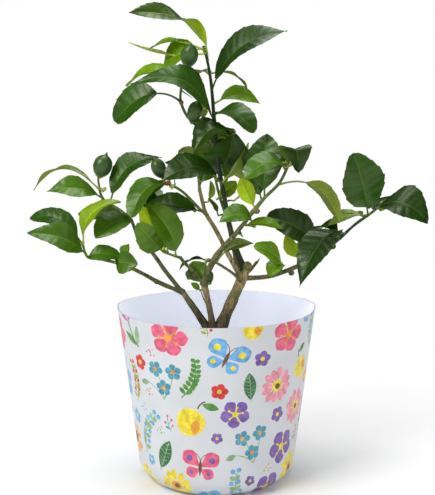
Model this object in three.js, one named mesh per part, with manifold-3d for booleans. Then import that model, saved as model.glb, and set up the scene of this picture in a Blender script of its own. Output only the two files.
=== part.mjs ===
// Potted lemon tree: a young tree of three stems in a thin printed cover pot.
// Millimetres, +Z up. The origin is the centre of the pot's flat underside,
// +X is the tree's right and +Y its back.

import * as THREE from "three";
import { mergeVertices } from "three/addons/utils/BufferGeometryUtils.js";
import Module from "manifold-3d";

const wasm = await Module();
wasm.setup();

// Pot and soil
const POT_HEIGHT = 132;
const RIM_RADIUS = 74.6;
const BASE_RADIUS = 58;
const FOOT_ROUND = 17;
const WALL = 1.2;
const RIM_DIP = 3.4;
const RIM_DIP_POWER = 0.4;
const POT_SEGMENTS = 40;
const FOOT_STEPS = 4;
const SOIL_TOP = 92;
const GROUND_SIDE = 80;

// The plan below is a drawing of the tree from the front, with the depth of each
// place on it. The front eye sees the tree as the drawing shows it.
const FRONT_EYE = [0.8, -650, 256.5];
const DRAWING_TILT = THREE.MathUtils.degToRad(7.25);
const DRAWING_DISTANCE = 650.7;
const DRAWING_MIDDLE = [-0.8, 177.6];
const DRAWING_STRETCH = 1.0068;

// Growth
const GAP = 0.3;
const SNAP_GRIDS = [0.003, 0.006, 0.01, 0.015, 0.02, 0.03];
const LIMB_SIDES = 7;
const LIMB_STEP = 11;
const STEM_SIDES = 5;
const LEAF_THICKNESS = 1.5;
const LEAF_FOLD = 0.22;
const LEAF_STATIONS = [0.12, 0.36, 0.64, 0.86, 1];
const PETIOLE_SHARE = 0.12;
const PETIOLE_RADIUS = 0.7;
const TIP_HALF_WIDTH = 0.5;
const MIDRIB_STEP = 0.01;
const STALK_RADIUS = 0.9;

// A leaf that is wide enough has a partner, which points to the back of the tree
const PARTNER_MIN_WIDTH = 17;
const PARTNER_NARROWINGS = [0.5, 0.35, 0.2, 0.05, -0.1];
const PARTNER_COVER = 1;
const PARTNER_DEPTH = 0.8;
const PARTNER_SHIFT = 0.07;
const PARTNER_LOWEST = 0.04;
const PARTNER_FACE = [0.5, 0.3, 1];
const PARTNER_WIDTH = 0.9;

// Leaves of the rear sprays, set round their stem by the golden angle
const GOLDEN_ANGLE = 2.39996;
const REAR_TRIES = 900;
const REAR_LEAVES = 16;
const REAR_LENGTH = 50;
const REAR_WIDTH = 21;
const REAR_CLEARANCE = 8.5;
const REAR_SEED = 7;
const REAR_LOWEST = 0.3;
const REAR_SPAN = 0.69;
const REAR_OUTWARD = 0.35;
const REAR_FORWARD_SHARE = 0.2;
const REAR_FORWARD = -0.6;
const REAR_FLATNESS = 0.7;
const REAR_FACE = [0.3, 0.35, 0.85];
const REAR_MIDDLE = 0.6;

const COLOURS = {
  pot: { color: 0xf2f1f6, roughness: 0.45, metalness: 0 },
  soil: { color: 0x3a2a1e, roughness: 0.95, metalness: 0 },
  bark: { color: 0x8f7b55, roughness: 0.8, metalness: 0 },
  greenBark: { color: 0x4f5c34, roughness: 0.7, metalness: 0 },
  leaf: { color: 0x35702a, roughness: 0.4, metalness: 0 },
};

// Limbs: the guide runs up the middle of the limb, and the girths are the radii
// at even steps from its foot to its tip.
const LIMBS = {
  trunk_base: {
    guide: [[-3, 0, 96], [-2.5, -0.5, 103], [-2, -1, 109], [-1.5, -1, 118]],
    girth: [13.5, 10.2, 9, 8.6],
    bark: "bark",
  },
  bough_right: {
    guide: [[-1, 0, 112], [2, 0, 120], [8.5, 0, 135], [13.5, 1, 146], [17, 1, 154], [21, 1, 163.5]],
    girth: [5.2, 4.9, 4.4, 4, 4.1, 3.5],
    bark: "bark",
  },
  bough_middle: {
    guide: [[-3.5, -3, 112], [-5, -4, 123], [-8, -6, 139], [-11, -7, 151.5]],
    girth: [2.9, 2.5, 2.3, 2.4],
    bark: "bark",
  },
  bough_left: {
    guide: [[-5, -2, 113], [-9.5, -3, 120], [-21, -3, 137], [-27, -3, 145]],
    girth: [3.4, 3, 2.4, 2.2],
    bark: "bark",
  },
  bough_left_low: {
    guide: [[-26.5, -3, 144.5], [-43.5, -6, 151.5], [-58.5, -9, 159.5], [-73, -12, 166]],
    girth: [1.7, 1.5, 1.3],
    bark: "greenBark",
  },
  bough_left_high: {
    guide: [[-26.5, -3, 144], [-40, -2, 161], [-49.5, 0, 174], [-58, 2, 182.5], [-65, 4, 198.5]],
    girth: [1.7, 1.5, 1.3],
    bark: "greenBark",
  },
  bough_middle_left: {
    guide: [[-10.5, -7, 150.5], [-17.5, -9, 159], [-25, -11, 166], [-28.5, -12, 170.5]],
    girth: [1.6, 1.3, 1.2],
    bark: "greenBark",
  },
  bough_middle_right: {
    guide: [[-11, -7, 150], [-8, -10, 159.5], [-0.5, -14, 173], [10, -18, 184.5], [25.5, -23, 204]],
    girth: [2.4, 2.3, 1.8, 1.5],
    bark: "greenBark",
  },
  bough_right_low: {
    guide: [[19, 1, 155], [34.5, 3, 156], [48, 4, 159.5], [71.5, 9, 170.5], [90, 12, 184.5]],
    girth: [1.9, 1.7, 1.6, 1.3],
    bark: "greenBark",
  },
  bough_leader: {
    guide: [[19.5, 1, 160.5], [14.5, 2, 172], [9, 3, 190.5], [4, 4, 216.5], [-0.5, 4, 240], [-3.2, 4, 270]],
    girth: [2.5, 2, 1.8, 1.7, 1.5],
    bark: "greenBark",
  },
  bough_second: {
    guide: [[17, 0, 155], [7.5, 0, 172], [-2, 5, 190.5], [-9.5, 10, 203], [-14, 13, 220]],
    girth: [1.9, 1.7, 1.5, 1.3],
    bark: "bark",
  },
  bough_inner: {
    guide: [[17, -2, 153], [10, -3.5, 159], [0, -5, 165.5]],
    girth: [1.4, 1.1, 1],
    bark: "greenBark",
  },
  bough_stub: {
    guide: [[19.5, 1, 158], [23.5, 1, 161], [28.5, 1, 167]],
    girth: [1.3, 1.1],
    bark: "greenBark",
  },
  bough_back: {
    guide: [[16, 2, 153], [13, 15, 168], [10, 32, 182], [6, 48, 200]],
    girth: [1.9, 1.6, 1.4],
    bark: "greenBark",
  },
};

// A leaf grows from a share of its twig. Its reach runs from the twig to its
// tip, its face is where the upper side looks, bow is the arch of its midrib
// as a share of its length, highest at its peak, and twist turns it about the
// midrib, in degrees.
function leaf(share, reach, width, face, bow = 0.2, twist = 0, petiole = PETIOLE_SHARE, peak = 0.5) {
  return { share, reach, width, face, bow, twist, petiole, peak };
}

// A fruit hangs or stands off a share of its twig: radius and half its height.
function fruit(share, offset, radius, halfHeight) {
  return { share, offset, radius, halfHeight };
}

// Sprays of foliage: each has one stem that goes on from its limb.
const SPRAYS = {
  foliage_top: {
    stem: [[-3.2, 4, 269.5], [-5, 4, 293.5], [-7, 3, 308.5], [-11, 2, 326]],
    girth: [1.5, 0.9],
    leaves: [
      leaf(0.82, [-58, -16, 35], 23, [0.62, 0.85, 0.42], 0.39, -118, 0.04, 0.34),
      leaf(0.42, [56, -14, 44], 30, [-0.45, -0.6, 0.65], 0.2),
      leaf(0.05, [-59, -20, 26], 28, [0.35, -0.6, 0.65], 0.31, 0, 0.04, 0.56),
      leaf(0.1, [30, -26, -13], 25, [0.35, -0.7, 0.6], 0.22, 0, 0.06),
      leaf(0.24, [35, 16, 0], 17, [0.15, -0.45, 0.9], 0.2, 30),
      leaf(0.64, [28, 8, -12], 12, [0.3, -0.1, 0.95], 0.2),
      leaf(0.97, [-31, 26, -16], 26, [0.1, -0.8, 0.55], 0.14),
      leaf(0.94, [-41, 24, 1], 13, [0.1, -0.5, 0.8], 0.14, 0, 0.42),
      leaf(0.91, [-57, 30, 8], 14, [0.15, -0.1, 0.95], -0.07, 0, 0.4),
      leaf(0.62, [-13, 22, -4], 13, [0.1, -0.3, 0.95], 0.2),
    ],
  },
  foliage_top_left: {
    stem: [[-3.2, 4, 266.5], [-14, 0, 266.5], [-23, -2, 274], [-28, -3, 285], [-28, -3, 293], [-23, -2, 311]],
    girth: [1.2, 0.8],
    leaves: [
      leaf(0.56, [-49, 4, -14], 30, [-0.3, -0.6, 0.75], 0.29, -20, 0.28, 0.4),
      leaf(0.8, [-41, 20, -3], 24, [-0.1, -0.45, 0.9], 0.22),
    ],
    fruits: [fruit(1, [1.5, -6, 7], 6.3, 8.6), fruit(0.3, [2, -1, 7], 5.4, 7.8)],
  },
  foliage_middle_right: {
    stem: [[-1, 4, 249], [4, 1, 256], [12, -1, 262.5]],
    girth: [1.1, 0.8],
    leaves: [
      leaf(0.98, [-30, -22, -15], 29, [-0.3, -0.55, 0.75], 0.28, 0, 0.03),
      leaf(0.94, [-9, 24, -30], 34, [0.2, -0.85, 0.4], 0.14, 0, 0.02),
    ],
  },
  foliage_centre: {
    stem: [[2.5, 4, 224], [1.5, -4, 226], [-1, -9, 227.5]],
    girth: [1.1, 0.8],
    leaves: [
      leaf(0.98, [-41, -22, -1], 30, [0.05, -0.6, 0.8], 0.27, 0, 0.04),
      leaf(0.3, [20, 6, 30], 15, [0.8, -0.45, -0.4], 0.06),
    ],
  },
  foliage_centre_rear: {
    stem: [[-14, 13, 219], [-15, 14, 230], [-17, 15, 243]],
    girth: [1.2, 0.9],
    leaves: [
      leaf(0.15, [9, 14, 25], 18, [0.3, -0.85, 0.4], 0.1),
      leaf(0.5, [-22, 20, 8], 19, [-0.2, -0.5, 0.8], 0.3),
      leaf(0.97, [-13, 6, 6], 12, [-0.2, -0.6, 0.7], 0.2),
    ],
  },
  foliage_centre_left: {
    stem: [[-8, 9, 201], [-14, 5, 206], [-28.5, -3, 220], [-41, -6, 226]],
    girth: [1.2, 0.9],
    leaves: [
      leaf(0.1, [-44, 6, 5], 21, [-0.1, -0.6, 0.75], 0.1),
      leaf(0.86, [-29, -24, -24], 27, [-0.45, -0.6, 0.65], 0.27, 0, 0.06),
    ],
    fruits: [fruit(0.97, [-4.5, 0, 10.5], 5.4, 7.2)],
  },
  foliage_right_middle: {
    stem: [[25, -23, 203.3], [33.5, -25, 213.5], [45, -28, 225], [52, -29, 238.5]],
    girth: [1.5, 0.9],
    leaves: [
      leaf(0.08, [-11, -2, 24], 13, [-0.3, 0.8, 0.4], 0.12),
      leaf(0.97, [-32, -18, -10], 24, [-0.2, -0.6, 0.75], 0.24, 0, 0.04),
      leaf(0.32, [1, 16, 47], 27, [-0.15, -0.9, 0.3], 0.1),
      leaf(0.97, [8, -14, -5], 24, [0.15, -0.45, 0.88], 0.95, 0, 0.04),
      leaf(0.62, [46, 16, -28], 20, [0.25, 0.45, 0.8], 0.28, 0, 0.36),
      leaf(0.99, [-10, 8, 9], 10, [0, -0.5, 0.8], 0.2),
    ],
  },
  foliage_inner_right: {
    stem: [[18, -20.5, 194.5], [22.5, -26, 194], [27, -30, 193]],
    girth: [1, 0.8],
    leaves: [
      leaf(0.95, [-26, -12, 3], 21, [0, -0.6, 0.8], 0.34),
      leaf(0.3, [28, 4, -3], 15, [0, -0.4, 0.88], 0.1, 0, 0.02),
    ],
  },
  foliage_right_inner: {
    stem: [[45.5, 3.5, 158], [46.5, 0.5, 161.5], [47, -1.5, 165]],
    girth: [0.9, 0.8],
    leaves: [
      leaf(0.97, [-21, -14, 14], 17, [0.5, -0.65, 0.5], 0.14),
      leaf(0.85, [-9, -12, -8], 15, [-0.2, -0.6, 0.7], 0.3, 0, 0.04),
    ],
  },
  foliage_right_low: {
    stem: [[58, 6, 163], [62, 9, 170], [67, 10, 176], [72, 9, 181]],
    girth: [1.2, 0.8],
    leaves: [
      leaf(0.25, [-11, -4, 19], 11, [-0.5, 0.7, 0.3], 0.12),
      leaf(0.98, [-36, -12, 20], 27, [-0.1, -0.75, 0.6], 0.14, 0, 0.06),
    ],
  },
  foliage_right_far: {
    stem: [[89.5, 12, 184], [102.5, 13, 195.5], [112.5, 14, 202.5], [120.5, 14, 209]],
    girth: [1.2, 0.9],
    leaves: [
      leaf(0.12, [-33, -38, -39], 26, [-0.5, -0.75, 0.45], 0.25, 0, 0.04, 0.42),
      leaf(0.7, [-33, 14, -11], 19, [-0.15, -0.35, 0.92], 0.12),
      leaf(0.69, [-11, -16, 46], 33, [0.05, -0.95, 0.3], 0.1, 0, 0.14),
      leaf(0.9, [38, -22, -11], 34, [0.25, -0.7, 0.65], 0.29, 0, 0.02),
    ],
  },
  foliage_left_high: {
    stem: [[-64.7, 4, 197.8], [-73, 5, 205], [-86, 5, 214], [-89.5, 5, 228]],
    girth: [1.2, 0.8],
    leaves: [
      leaf(0.8, [-49, 24, 0], 13, [0, -0.15, 1], 0.28),
      leaf(0.64, [-42, -14, 5], 20, [-0.1, -0.7, 0.7], 0.18),
      leaf(0.48, [38, 16, 34], 25, [-0.35, -0.6, 0.7], 0.27, 0, 0.12),
      leaf(0.05, [-38, 16, 3], 18, [-0.1, -0.6, 0.75], 0.05),
      leaf(0.02, [-26, -24, -14], 25, [-0.3, -0.8, 0.45], 0.16, 0, 0.04),
    ],
    fruits: [fruit(0.99, [3.5, 0, 10], 7, 8.4)],
  },
  foliage_left_low: {
    stem: [[-72.4, -12, 165.7], [-88, -14, 169], [-97, -15, 170.5], [-101, -15, 180]],
    girth: [1.2, 0.8],
    leaves: [
      leaf(0.8, [-43, -20, 15], 23, [-0.1, -0.75, 0.65], 0.18, 0, 0.06),
      leaf(0.98, [-39, 16, 19], 18, [0.5, -0.5, 0.7], 0.24, -40),
      leaf(0.95, [28, 8, 33], 21, [-0.6, -0.5, 0.6], 0.28, 0, 0.1),
      leaf(0.72, [26, 4, -1], 15, [0.05, -0.7, 0.7], 0.18, 0, 0.02),
      leaf(0.1, [16, -12, -1], 18, [0.1, -0.95, 0.25], 0.1, 0, 0.04),
    ],
  },
  foliage_inner_left: {
    stem: [[-28, -12, 170], [-33, -13, 171.5], [-42, -15, 175]],
    girth: [1, 0.8],
    leaves: [
      leaf(0.9, [-20, -16, 21], 21, [-0.2, -0.95, 0.25], 0.1),
      leaf(0.25, [-21, -10, 38], 26, [0.55, -0.7, 0.35], 0.16, 0, 0.1),
      leaf(0.75, [-20, 12, 35], 17, [-0.1, 0.9, 0.2], 0.08),
    ],
  },
  foliage_inner_low: {
    stem: [[0.6, -5, 165], [-3, -5.5, 167], [-8, -5, 168]],
    girth: [0.9, 0.8],
    leaves: [
      leaf(0.3, [28, -3, 14], 13, [0.1, -0.45, 0.9], 0.2, 0, 0.3),
      leaf(0.9, [-22, 12, -7], 9, [0, -0.1, 1], 0.18),
      leaf(0.97, [-13, 3, -14], 17, [0.1, -0.9, 0.35], 0.08),
    ],
  },
};

// Sprays at the back, filled by the seeded rule
const REAR_SPRAYS = {
  foliage_back_top: { stem: [[-1.5, 5.5, 247], [-4, 16, 253], [-7, 27, 259], [-8, 36, 266]] },
  foliage_back: { stem: [[6.3, 47, 199], [0, 60, 218], [-4, 70, 238], [-6, 76, 250]] },
  foliage_back_left: { stem: [[-49.5, 0, 174], [-48, 22, 186], [-47, 42, 201], [-47, 56, 215]] },
  foliage_back_right: { stem: [[71.5, 9, 170.5], [70, 26, 176], [67, 42, 182], [64, 56, 190]] },
};
const REAR_GIRTH = [1.3, 0.9];

function vector([x, y, z]) {
  return new THREE.Vector3(x, y, z);
}

// Place in space of a place on the drawing
function planned([x, y, z]) {
  const above = (z - DRAWING_MIDDLE[1]) * DRAWING_STRETCH;
  const depth = above * Math.sin(DRAWING_TILT) + DRAWING_DISTANCE * Math.cos(DRAWING_TILT);
  const rise = above * Math.cos(DRAWING_TILT) - DRAWING_DISTANCE * Math.sin(DRAWING_TILT);
  const share = (y - FRONT_EYE[1]) / depth;
  return new THREE.Vector3(FRONT_EYE[0] + share * (x - DRAWING_MIDDLE[0]), y, FRONT_EYE[2] + share * rise);
}

// Place on the drawing of a place in space
function drawn(place) {
  const { x, y, z } = place.clone().sub(vector(FRONT_EYE));
  const scale = DRAWING_DISTANCE / (y * Math.cos(DRAWING_TILT) - z * Math.sin(DRAWING_TILT));
  const above = (y * Math.sin(DRAWING_TILT) + z * Math.cos(DRAWING_TILT)) * scale;
  const [middleX, middleZ] = DRAWING_MIDDLE;
  return new THREE.Vector3(x * scale + middleX, place.y, above / DRAWING_STRETCH + middleZ);
}

// Shape in space of a drawn leaf that grows from base
function lifted(base, shape) {
  const tip = drawn(base).add(vector(shape.reach));
  const middleDepth = base.y + shape.reach[1] / 2;
  return {
    ...shape,
    reach: planned(tip.toArray()).sub(base).toArray(),
    width: (shape.width * (middleDepth - FRONT_EYE[1])) / -FRONT_EYE[1],
  };
}

function routeOf(guide) {
  return new THREE.CatmullRomCurve3(guide, false, "centripetal");
}

function solid(geometry) {
  const bare = geometry.clone();
  bare.deleteAttribute("normal");
  bare.deleteAttribute("uv");
  const merged = mergeVertices(bare, 1e-4);
  const vertProperties = new Float32Array(merged.attributes.position.array);
  const triVerts = new Uint32Array(merged.index.array);
  return new wasm.Manifold(new wasm.Mesh({ numProp: 3, vertProperties, triVerts }));
}

// Every edge of a closed skin is run once each way
function isClosed(triangles) {
  const runs = new Set();
  for (const [a, b, c] of triangles) {
    for (const [from, to] of [[a, b], [b, c], [c, a]]) {
      if (runs.has(`${from} ${to}`)) {
        return false;
      }
      runs.add(`${from} ${to}`);
    }
  }
  return [...runs].every((run) => runs.has(run.split(" ").reverse().join(" ")));
}

// Places moved to a fine grid, so that the shortest edges of a join close up
function snapped({ vertProperties, triVerts }, grid) {
  const places = new Map();
  const vertexAt = [];
  for (let i = 0; i < vertProperties.length; i += 3) {
    const steps = Array.from(vertProperties.slice(i, i + 3), (value) => Math.round(value / grid));
    const key = steps.join(" ");
    if (!places.has(key)) {
      places.set(key, { index: places.size, place: steps.map((step) => step * grid) });
    }
    vertexAt.push(places.get(key).index);
  }
  const triangles = [];
  for (let i = 0; i < triVerts.length; i += 3) {
    const corners = Array.from(triVerts.slice(i, i + 3), (vertex) => vertexAt[vertex]);
    if (new Set(corners).size === 3) {
      triangles.push(corners);
    }
  }
  return { places: [...places.values()].flatMap(({ place }) => place), triangles };
}

// The finest grid that keeps the skin closed is used
function geometryOf(body) {
  const skins = SNAP_GRIDS.map((grid) => snapped(body.getMesh(), grid));
  const { places, triangles } = skins.find((skin) => isClosed(skin.triangles));
  const geometry = new THREE.BufferGeometry();
  geometry.setAttribute("position", new THREE.Float32BufferAttribute(places, 3));
  geometry.setIndex(triangles.flat());
  geometry.computeVertexNormals();
  return geometry;
}

// Skin over rings of equal count, with a flat cap at each end
function loft(rings) {
  const count = rings[0].length;
  const positions = rings.flat().flatMap((point) => point.toArray());
  const index = [];
  for (let ring = 0; ring < rings.length - 1; ring += 1) {
    for (let i = 0; i < count; i += 1) {
      const a = ring * count + i;
      const b = ring * count + ((i + 1) % count);
      index.push(a, b, b + count, a, b + count, a + count);
    }
  }
  const last = (rings.length - 1) * count;
  for (let i = 1; i < count - 1; i += 1) {
    index.push(0, i + 1, i, last, last + i, last + i + 1);
  }
  const geometry = new THREE.BufferGeometry();
  geometry.setAttribute("position", new THREE.Float32BufferAttribute(positions, 3));
  geometry.setIndex(index);
  return geometry;
}

function valueAlong(values, share) {
  const place = share * (values.length - 1);
  const start = Math.min(Math.floor(place), values.length - 2);
  return THREE.MathUtils.lerp(values[start], values[start + 1], place - start);
}

// Tapering limb: spare widens it and lengthens both ends
function limbGeometry(guide, girth, sides, spare = 0) {
  const route = routeOf(guide);
  const steps = Math.max(2, Math.round(route.getLength() / LIMB_STEP));
  const frames = route.computeFrenetFrames(steps, false);
  const rings = [];
  for (let step = 0; step <= steps; step += 1) {
    const share = step / steps;
    const centre = route.getPointAt(share);
    const shift = step === 0 ? -spare : step === steps ? spare : 0;
    centre.addScaledVector(frames.tangents[step], shift);
    const radius = valueAlong(girth, share) + spare;
    const ring = [];
    for (let side = 0; side < sides; side += 1) {
      const angle = (side / sides) * 2 * Math.PI;
      const point = centre.clone();
      point.addScaledVector(frames.normals[step], radius * Math.cos(angle));
      point.addScaledVector(frames.binormals[step], radius * Math.sin(angle));
      ring.push(point);
    }
    rings.push(ring);
  }
  return loft(rings);
}

// Half width of a lemon leaf's blade as a share of its half width, from foot to tip
function bladeOutline(share) {
  return Math.sin(Math.PI * share ** 0.9) ** 0.75;
}

// Frames along the leaf's arched midrib: centre, side and up at each share
function leafFrame(base, shape, share) {
  const reach = vector(shape.reach);
  const along = reach.clone().normalize();
  const face = vector(shape.face);
  face.addScaledVector(along, -face.dot(along)).normalize();
  const skew = Math.log(0.5) / Math.log(shape.peak);
  const midrib = (place) => {
    const turn = Math.max(0, place) ** skew;
    const rise = shape.bow * reach.length() * 4 * turn * (1 - turn);
    return base.clone().addScaledVector(reach, place).addScaledVector(face, rise);
  };
  const tangent = midrib(share + MIDRIB_STEP).sub(midrib(share - MIDRIB_STEP)).normalize();
  const up = face.clone().addScaledVector(tangent, -face.dot(tangent)).normalize();
  up.applyAxisAngle(tangent, THREE.MathUtils.degToRad(shape.twist) * share);
  const side = new THREE.Vector3().crossVectors(up, tangent);
  return { centre: midrib(share), side, up };
}

function leafGeometry(base, shape, spare = 0) {
  const stalk = [0, shape.petiole].map((share) => ({ share, half: PETIOLE_RADIUS, lift: 0 }));
  const blade = LEAF_STATIONS.map((station) => {
    const share = shape.petiole + (1 - shape.petiole) * station;
    const half = Math.max(TIP_HALF_WIDTH, (shape.width / 2) * bladeOutline(station));
    return { share, half, lift: LEAF_FOLD * half };
  });
  const rings = [...stalk, ...blade].map(({ share, half, lift }) => {
    const { centre, side, up } = leafFrame(base, shape, share);
    const thin = LEAF_THICKNESS / 2 + spare;
    const corner = (across, above) => centre.clone().addScaledVector(side, across).addScaledVector(up, above);
    return [corner(half + spare, lift), corner(0, thin), corner(-half - spare, lift), corner(0, -thin)];
  });
  return loft(rings);
}

function fruitGeometry(centre, { radius, halfHeight }, spare = 0) {
  const ball = new THREE.SphereGeometry(1, 9, 6);
  ball.rotateX(Math.PI / 2);
  ball.scale(radius + spare, radius + spare, halfHeight + spare);
  ball.translate(centre.x, centre.y, centre.z);
  return ball;
}

function fruitStalk(base, centre) {
  const middle = base.clone().lerp(centre, 0.5);
  return limbGeometry([base, middle, centre], [STALK_RADIUS, STALK_RADIUS], 4);
}

const group = new THREE.Group();
const taken = [];

function addNode(name, body, finish) {
  const mesh = new THREE.Mesh(geometryOf(body), new THREE.MeshStandardMaterial(COLOURS[finish]));
  mesh.name = name;
  group.add(mesh);
  taken.push({ name, body });
}

// Stems of all sprays: the leaves of the other sprays leave them free
const stems = [];
for (const [name, { stem, girth = REAR_GIRTH }] of Object.entries({ ...SPRAYS, ...REAR_SPRAYS })) {
  stems.push({ name, body: solid(limbGeometry(stem.map(planned), girth, STEM_SIDES)) });
}

function isClear(name, body) {
  return [...taken, ...stems].every((other) => other.name === name || body.intersect(other.body).isEmpty());
}

// Thin-walled tapered pot with a rounded foot. Its rim dips at the front and
// the back, between the two side folds.
function potBody() {
  const wallRadius = (height) => THREE.MathUtils.lerp(BASE_RADIUS, RIM_RADIUS, height / POT_HEIGHT);
  const profile = (inset) => {
    const points = [[0, inset], [wallRadius(FOOT_ROUND) - FOOT_ROUND, inset]];
    for (let step = 1; step <= FOOT_STEPS; step += 1) {
      const turn = (step / FOOT_STEPS) * (Math.PI / 2);
      const round = FOOT_ROUND - inset;
      const radius = wallRadius(FOOT_ROUND) - FOOT_ROUND + round * Math.sin(turn);
      points.push([radius, FOOT_ROUND - round * Math.cos(turn)]);
    }
    points.push([RIM_RADIUS - inset, POT_HEIGHT]);
    return points;
  };
  const outline = [...profile(0), ...profile(WALL).reverse()];
  const lathe = new THREE.LatheGeometry(outline.map(([r, z]) => new THREE.Vector2(r, z)), POT_SEGMENTS);
  lathe.rotateX(Math.PI / 2);
  const places = lathe.attributes.position;
  for (let i = 0; i < places.count; i += 1) {
    if (places.getZ(i) > POT_HEIGHT - 1) {
      const across = Math.abs(places.getY(i)) / Math.hypot(places.getX(i), places.getY(i));
      places.setZ(i, POT_HEIGHT - RIM_DIP * across ** RIM_DIP_POWER);
    }
  }
  return solid(lathe);
}

function soilBody() {
  const inset = WALL + GAP;
  const radiusAt = (height) => THREE.MathUtils.lerp(BASE_RADIUS, RIM_RADIUS, height / POT_HEIGHT) - inset;
  const flat = radiusAt(FOOT_ROUND) + inset - FOOT_ROUND;
  const points = [[0, inset], [flat, inset]];
  for (let step = 1; step <= FOOT_STEPS; step += 1) {
    const turn = (step / FOOT_STEPS) * (Math.PI / 2);
    const round = FOOT_ROUND - inset;
    points.push([flat + round * Math.sin(turn), FOOT_ROUND - round * Math.cos(turn)]);
  }
  points.push([radiusAt(SOIL_TOP), SOIL_TOP], [0, SOIL_TOP]);
  const lathe = new THREE.LatheGeometry(points.map(([r, z]) => new THREE.Vector2(r, z)), POT_SEGMENTS);
  lathe.rotateX(Math.PI / 2);
  return solid(lathe);
}

// Room under the level cut at the foot of the trunk
function groundRoom() {
  const block = new THREE.BoxGeometry(GROUND_SIDE, GROUND_SIDE, SOIL_TOP);
  block.translate(0, 0, SOIL_TOP / 2 + GAP);
  return solid(block);
}

// Every limb is cut clear of the ground and of the limbs that were there before it
const limbRoom = [groundRoom()];
function growLimb(name, { guide, girth, bark }) {
  const route = guide.map(planned);
  let body = solid(limbGeometry(route, girth, LIMB_SIDES));
  for (const room of limbRoom) {
    body = body.subtract(room);
  }
  limbRoom.push(solid(limbGeometry(route, girth, LIMB_SIDES, GAP)));
  addNode(name, largestPiece(body), bark);
}

function largestPiece(body) {
  const pieces = body.decompose();
  return pieces.reduce((best, piece) => (piece.volume() > best.volume() ? piece : best));
}

// Leaves that would touch something outside the spray are left out
function growSpray(name, { stem, girth = REAR_GIRTH, fruits = [] }, leaves) {
  const guide = stem.map(planned);
  const route = routeOf(guide);
  let wood = solid(limbGeometry(guide, girth, STEM_SIDES));
  for (const room of limbRoom) {
    wood = wood.subtract(room);
  }
  const parts = [largestPiece(wood)];
  for (const item of fruits) {
    const base = route.getPointAt(item.share);
    const centre = base.clone().add(vector(item.offset));
    if (isClear(name, solid(fruitGeometry(centre, item, GAP)))) {
      parts.push(solid(fruitStalk(base, centre)), solid(fruitGeometry(centre, item)));
    }
  }
  for (const shape of leaves) {
    const base = route.getPointAt(shape.share);
    if (isClear(name, solid(leafGeometry(base, shape, GAP)))) {
      parts.push(solid(leafGeometry(base, shape)));
    }
  }
  addNode(name, largestPiece(wasm.Manifold.union(parts)), "leaf");
}

// Small seeded generator of even numbers between 0 and 1
function seededNumbers(seed) {
  let state = seed;
  return () => {
    state = (state * 1103515245 + 12345) % 2147483648;
    return state / 2147483648;
  };
}

// Place on the front view: the view keeps its gaps open
function frontView(point) {
  const [ex, ey, ez] = FRONT_EYE;
  const depth = point.y - ey;
  return [(point.x - ex) / depth, (point.z - ez) / depth];
}

function leafEdge(base, shape) {
  const left = [];
  const right = [];
  for (const station of LEAF_STATIONS) {
    const share = shape.petiole + (1 - shape.petiole) * station;
    const { centre, side } = leafFrame(base, shape, share);
    const half = (shape.width / 2) * bladeOutline(station);
    left.push(centre.clone().addScaledVector(side, half));
    right.unshift(centre.clone().addScaledVector(side, -half));
  }
  return [...left, ...right];
}

function isInside([x, y], polygon) {
  let inside = false;
  polygon.forEach(([x1, y1], i) => {
    const [x2, y2] = polygon[(i + 1) % polygon.length];
    if ((y1 > y) !== (y2 > y) && x < ((x2 - x1) * (y - y1)) / (y2 - y1) + x1) {
      inside = !inside;
    }
  });
  return inside;
}

// Share of a leaf's edge that the outlines hide in the front view
function hiddenShare(base, shape, outlines) {
  const edge = leafEdge(base, shape).map(frontView);
  const covered = edge.filter((spot) => outlines.some((outline) => isInside(spot, outline)));
  return covered.length / edge.length;
}

function plannedLeaves({ stem, leaves }) {
  const route = routeOf(stem.map(planned));
  return leaves.map((shape) => lifted(route.getPointAt(shape.share), shape));
}

// Outlines of the planned leaves as the front view shows them
function frontOutlines() {
  return Object.values(SPRAYS).flatMap((spray) => {
    const route = routeOf(spray.stem.map(planned));
    return plannedLeaves(spray).map((shape) => {
      const base = route.getPointAt(shape.share);
      return [base, ...leafEdge(base, shape)].map(frontView);
    });
  });
}

// A leaf's partner points to the back, narrower as seen from the front
function partnerOf(shape, narrowing) {
  const [dx, dy, dz] = shape.reach;
  const [fx, fy, fz] = shape.face;
  return {
    ...shape,
    share: Math.max(PARTNER_LOWEST, shape.share - PARTNER_SHIFT),
    reach: [dx * narrowing, PARTNER_DEPTH * Math.hypot(dx, dy, dz), dz * narrowing],
    face: [PARTNER_FACE[0] * fx, PARTNER_FACE[1] * Math.abs(fy), PARTNER_FACE[2] * fz],
    width: shape.width * PARTNER_WIDTH,
    twist: 0,
  };
}

// Partners of the wide leaves: for each the one that the front foliage hides best
function partnersOf(spray, outlines) {
  const route = routeOf(spray.stem.map(planned));
  const shapes = plannedLeaves(spray).filter((shape, i) => spray.leaves[i].width >= PARTNER_MIN_WIDTH);
  return shapes.flatMap((shape) => {
    const tries = PARTNER_NARROWINGS.map((narrowing) => {
      const partner = partnerOf(shape, narrowing);
      return { partner, cover: hiddenShare(route.getPointAt(partner.share), partner, outlines) };
    });
    const best = tries.reduce((first, other) => (other.cover > first.cover ? other : first));
    return best.cover >= PARTNER_COVER ? [best.partner] : [];
  });
}

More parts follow.
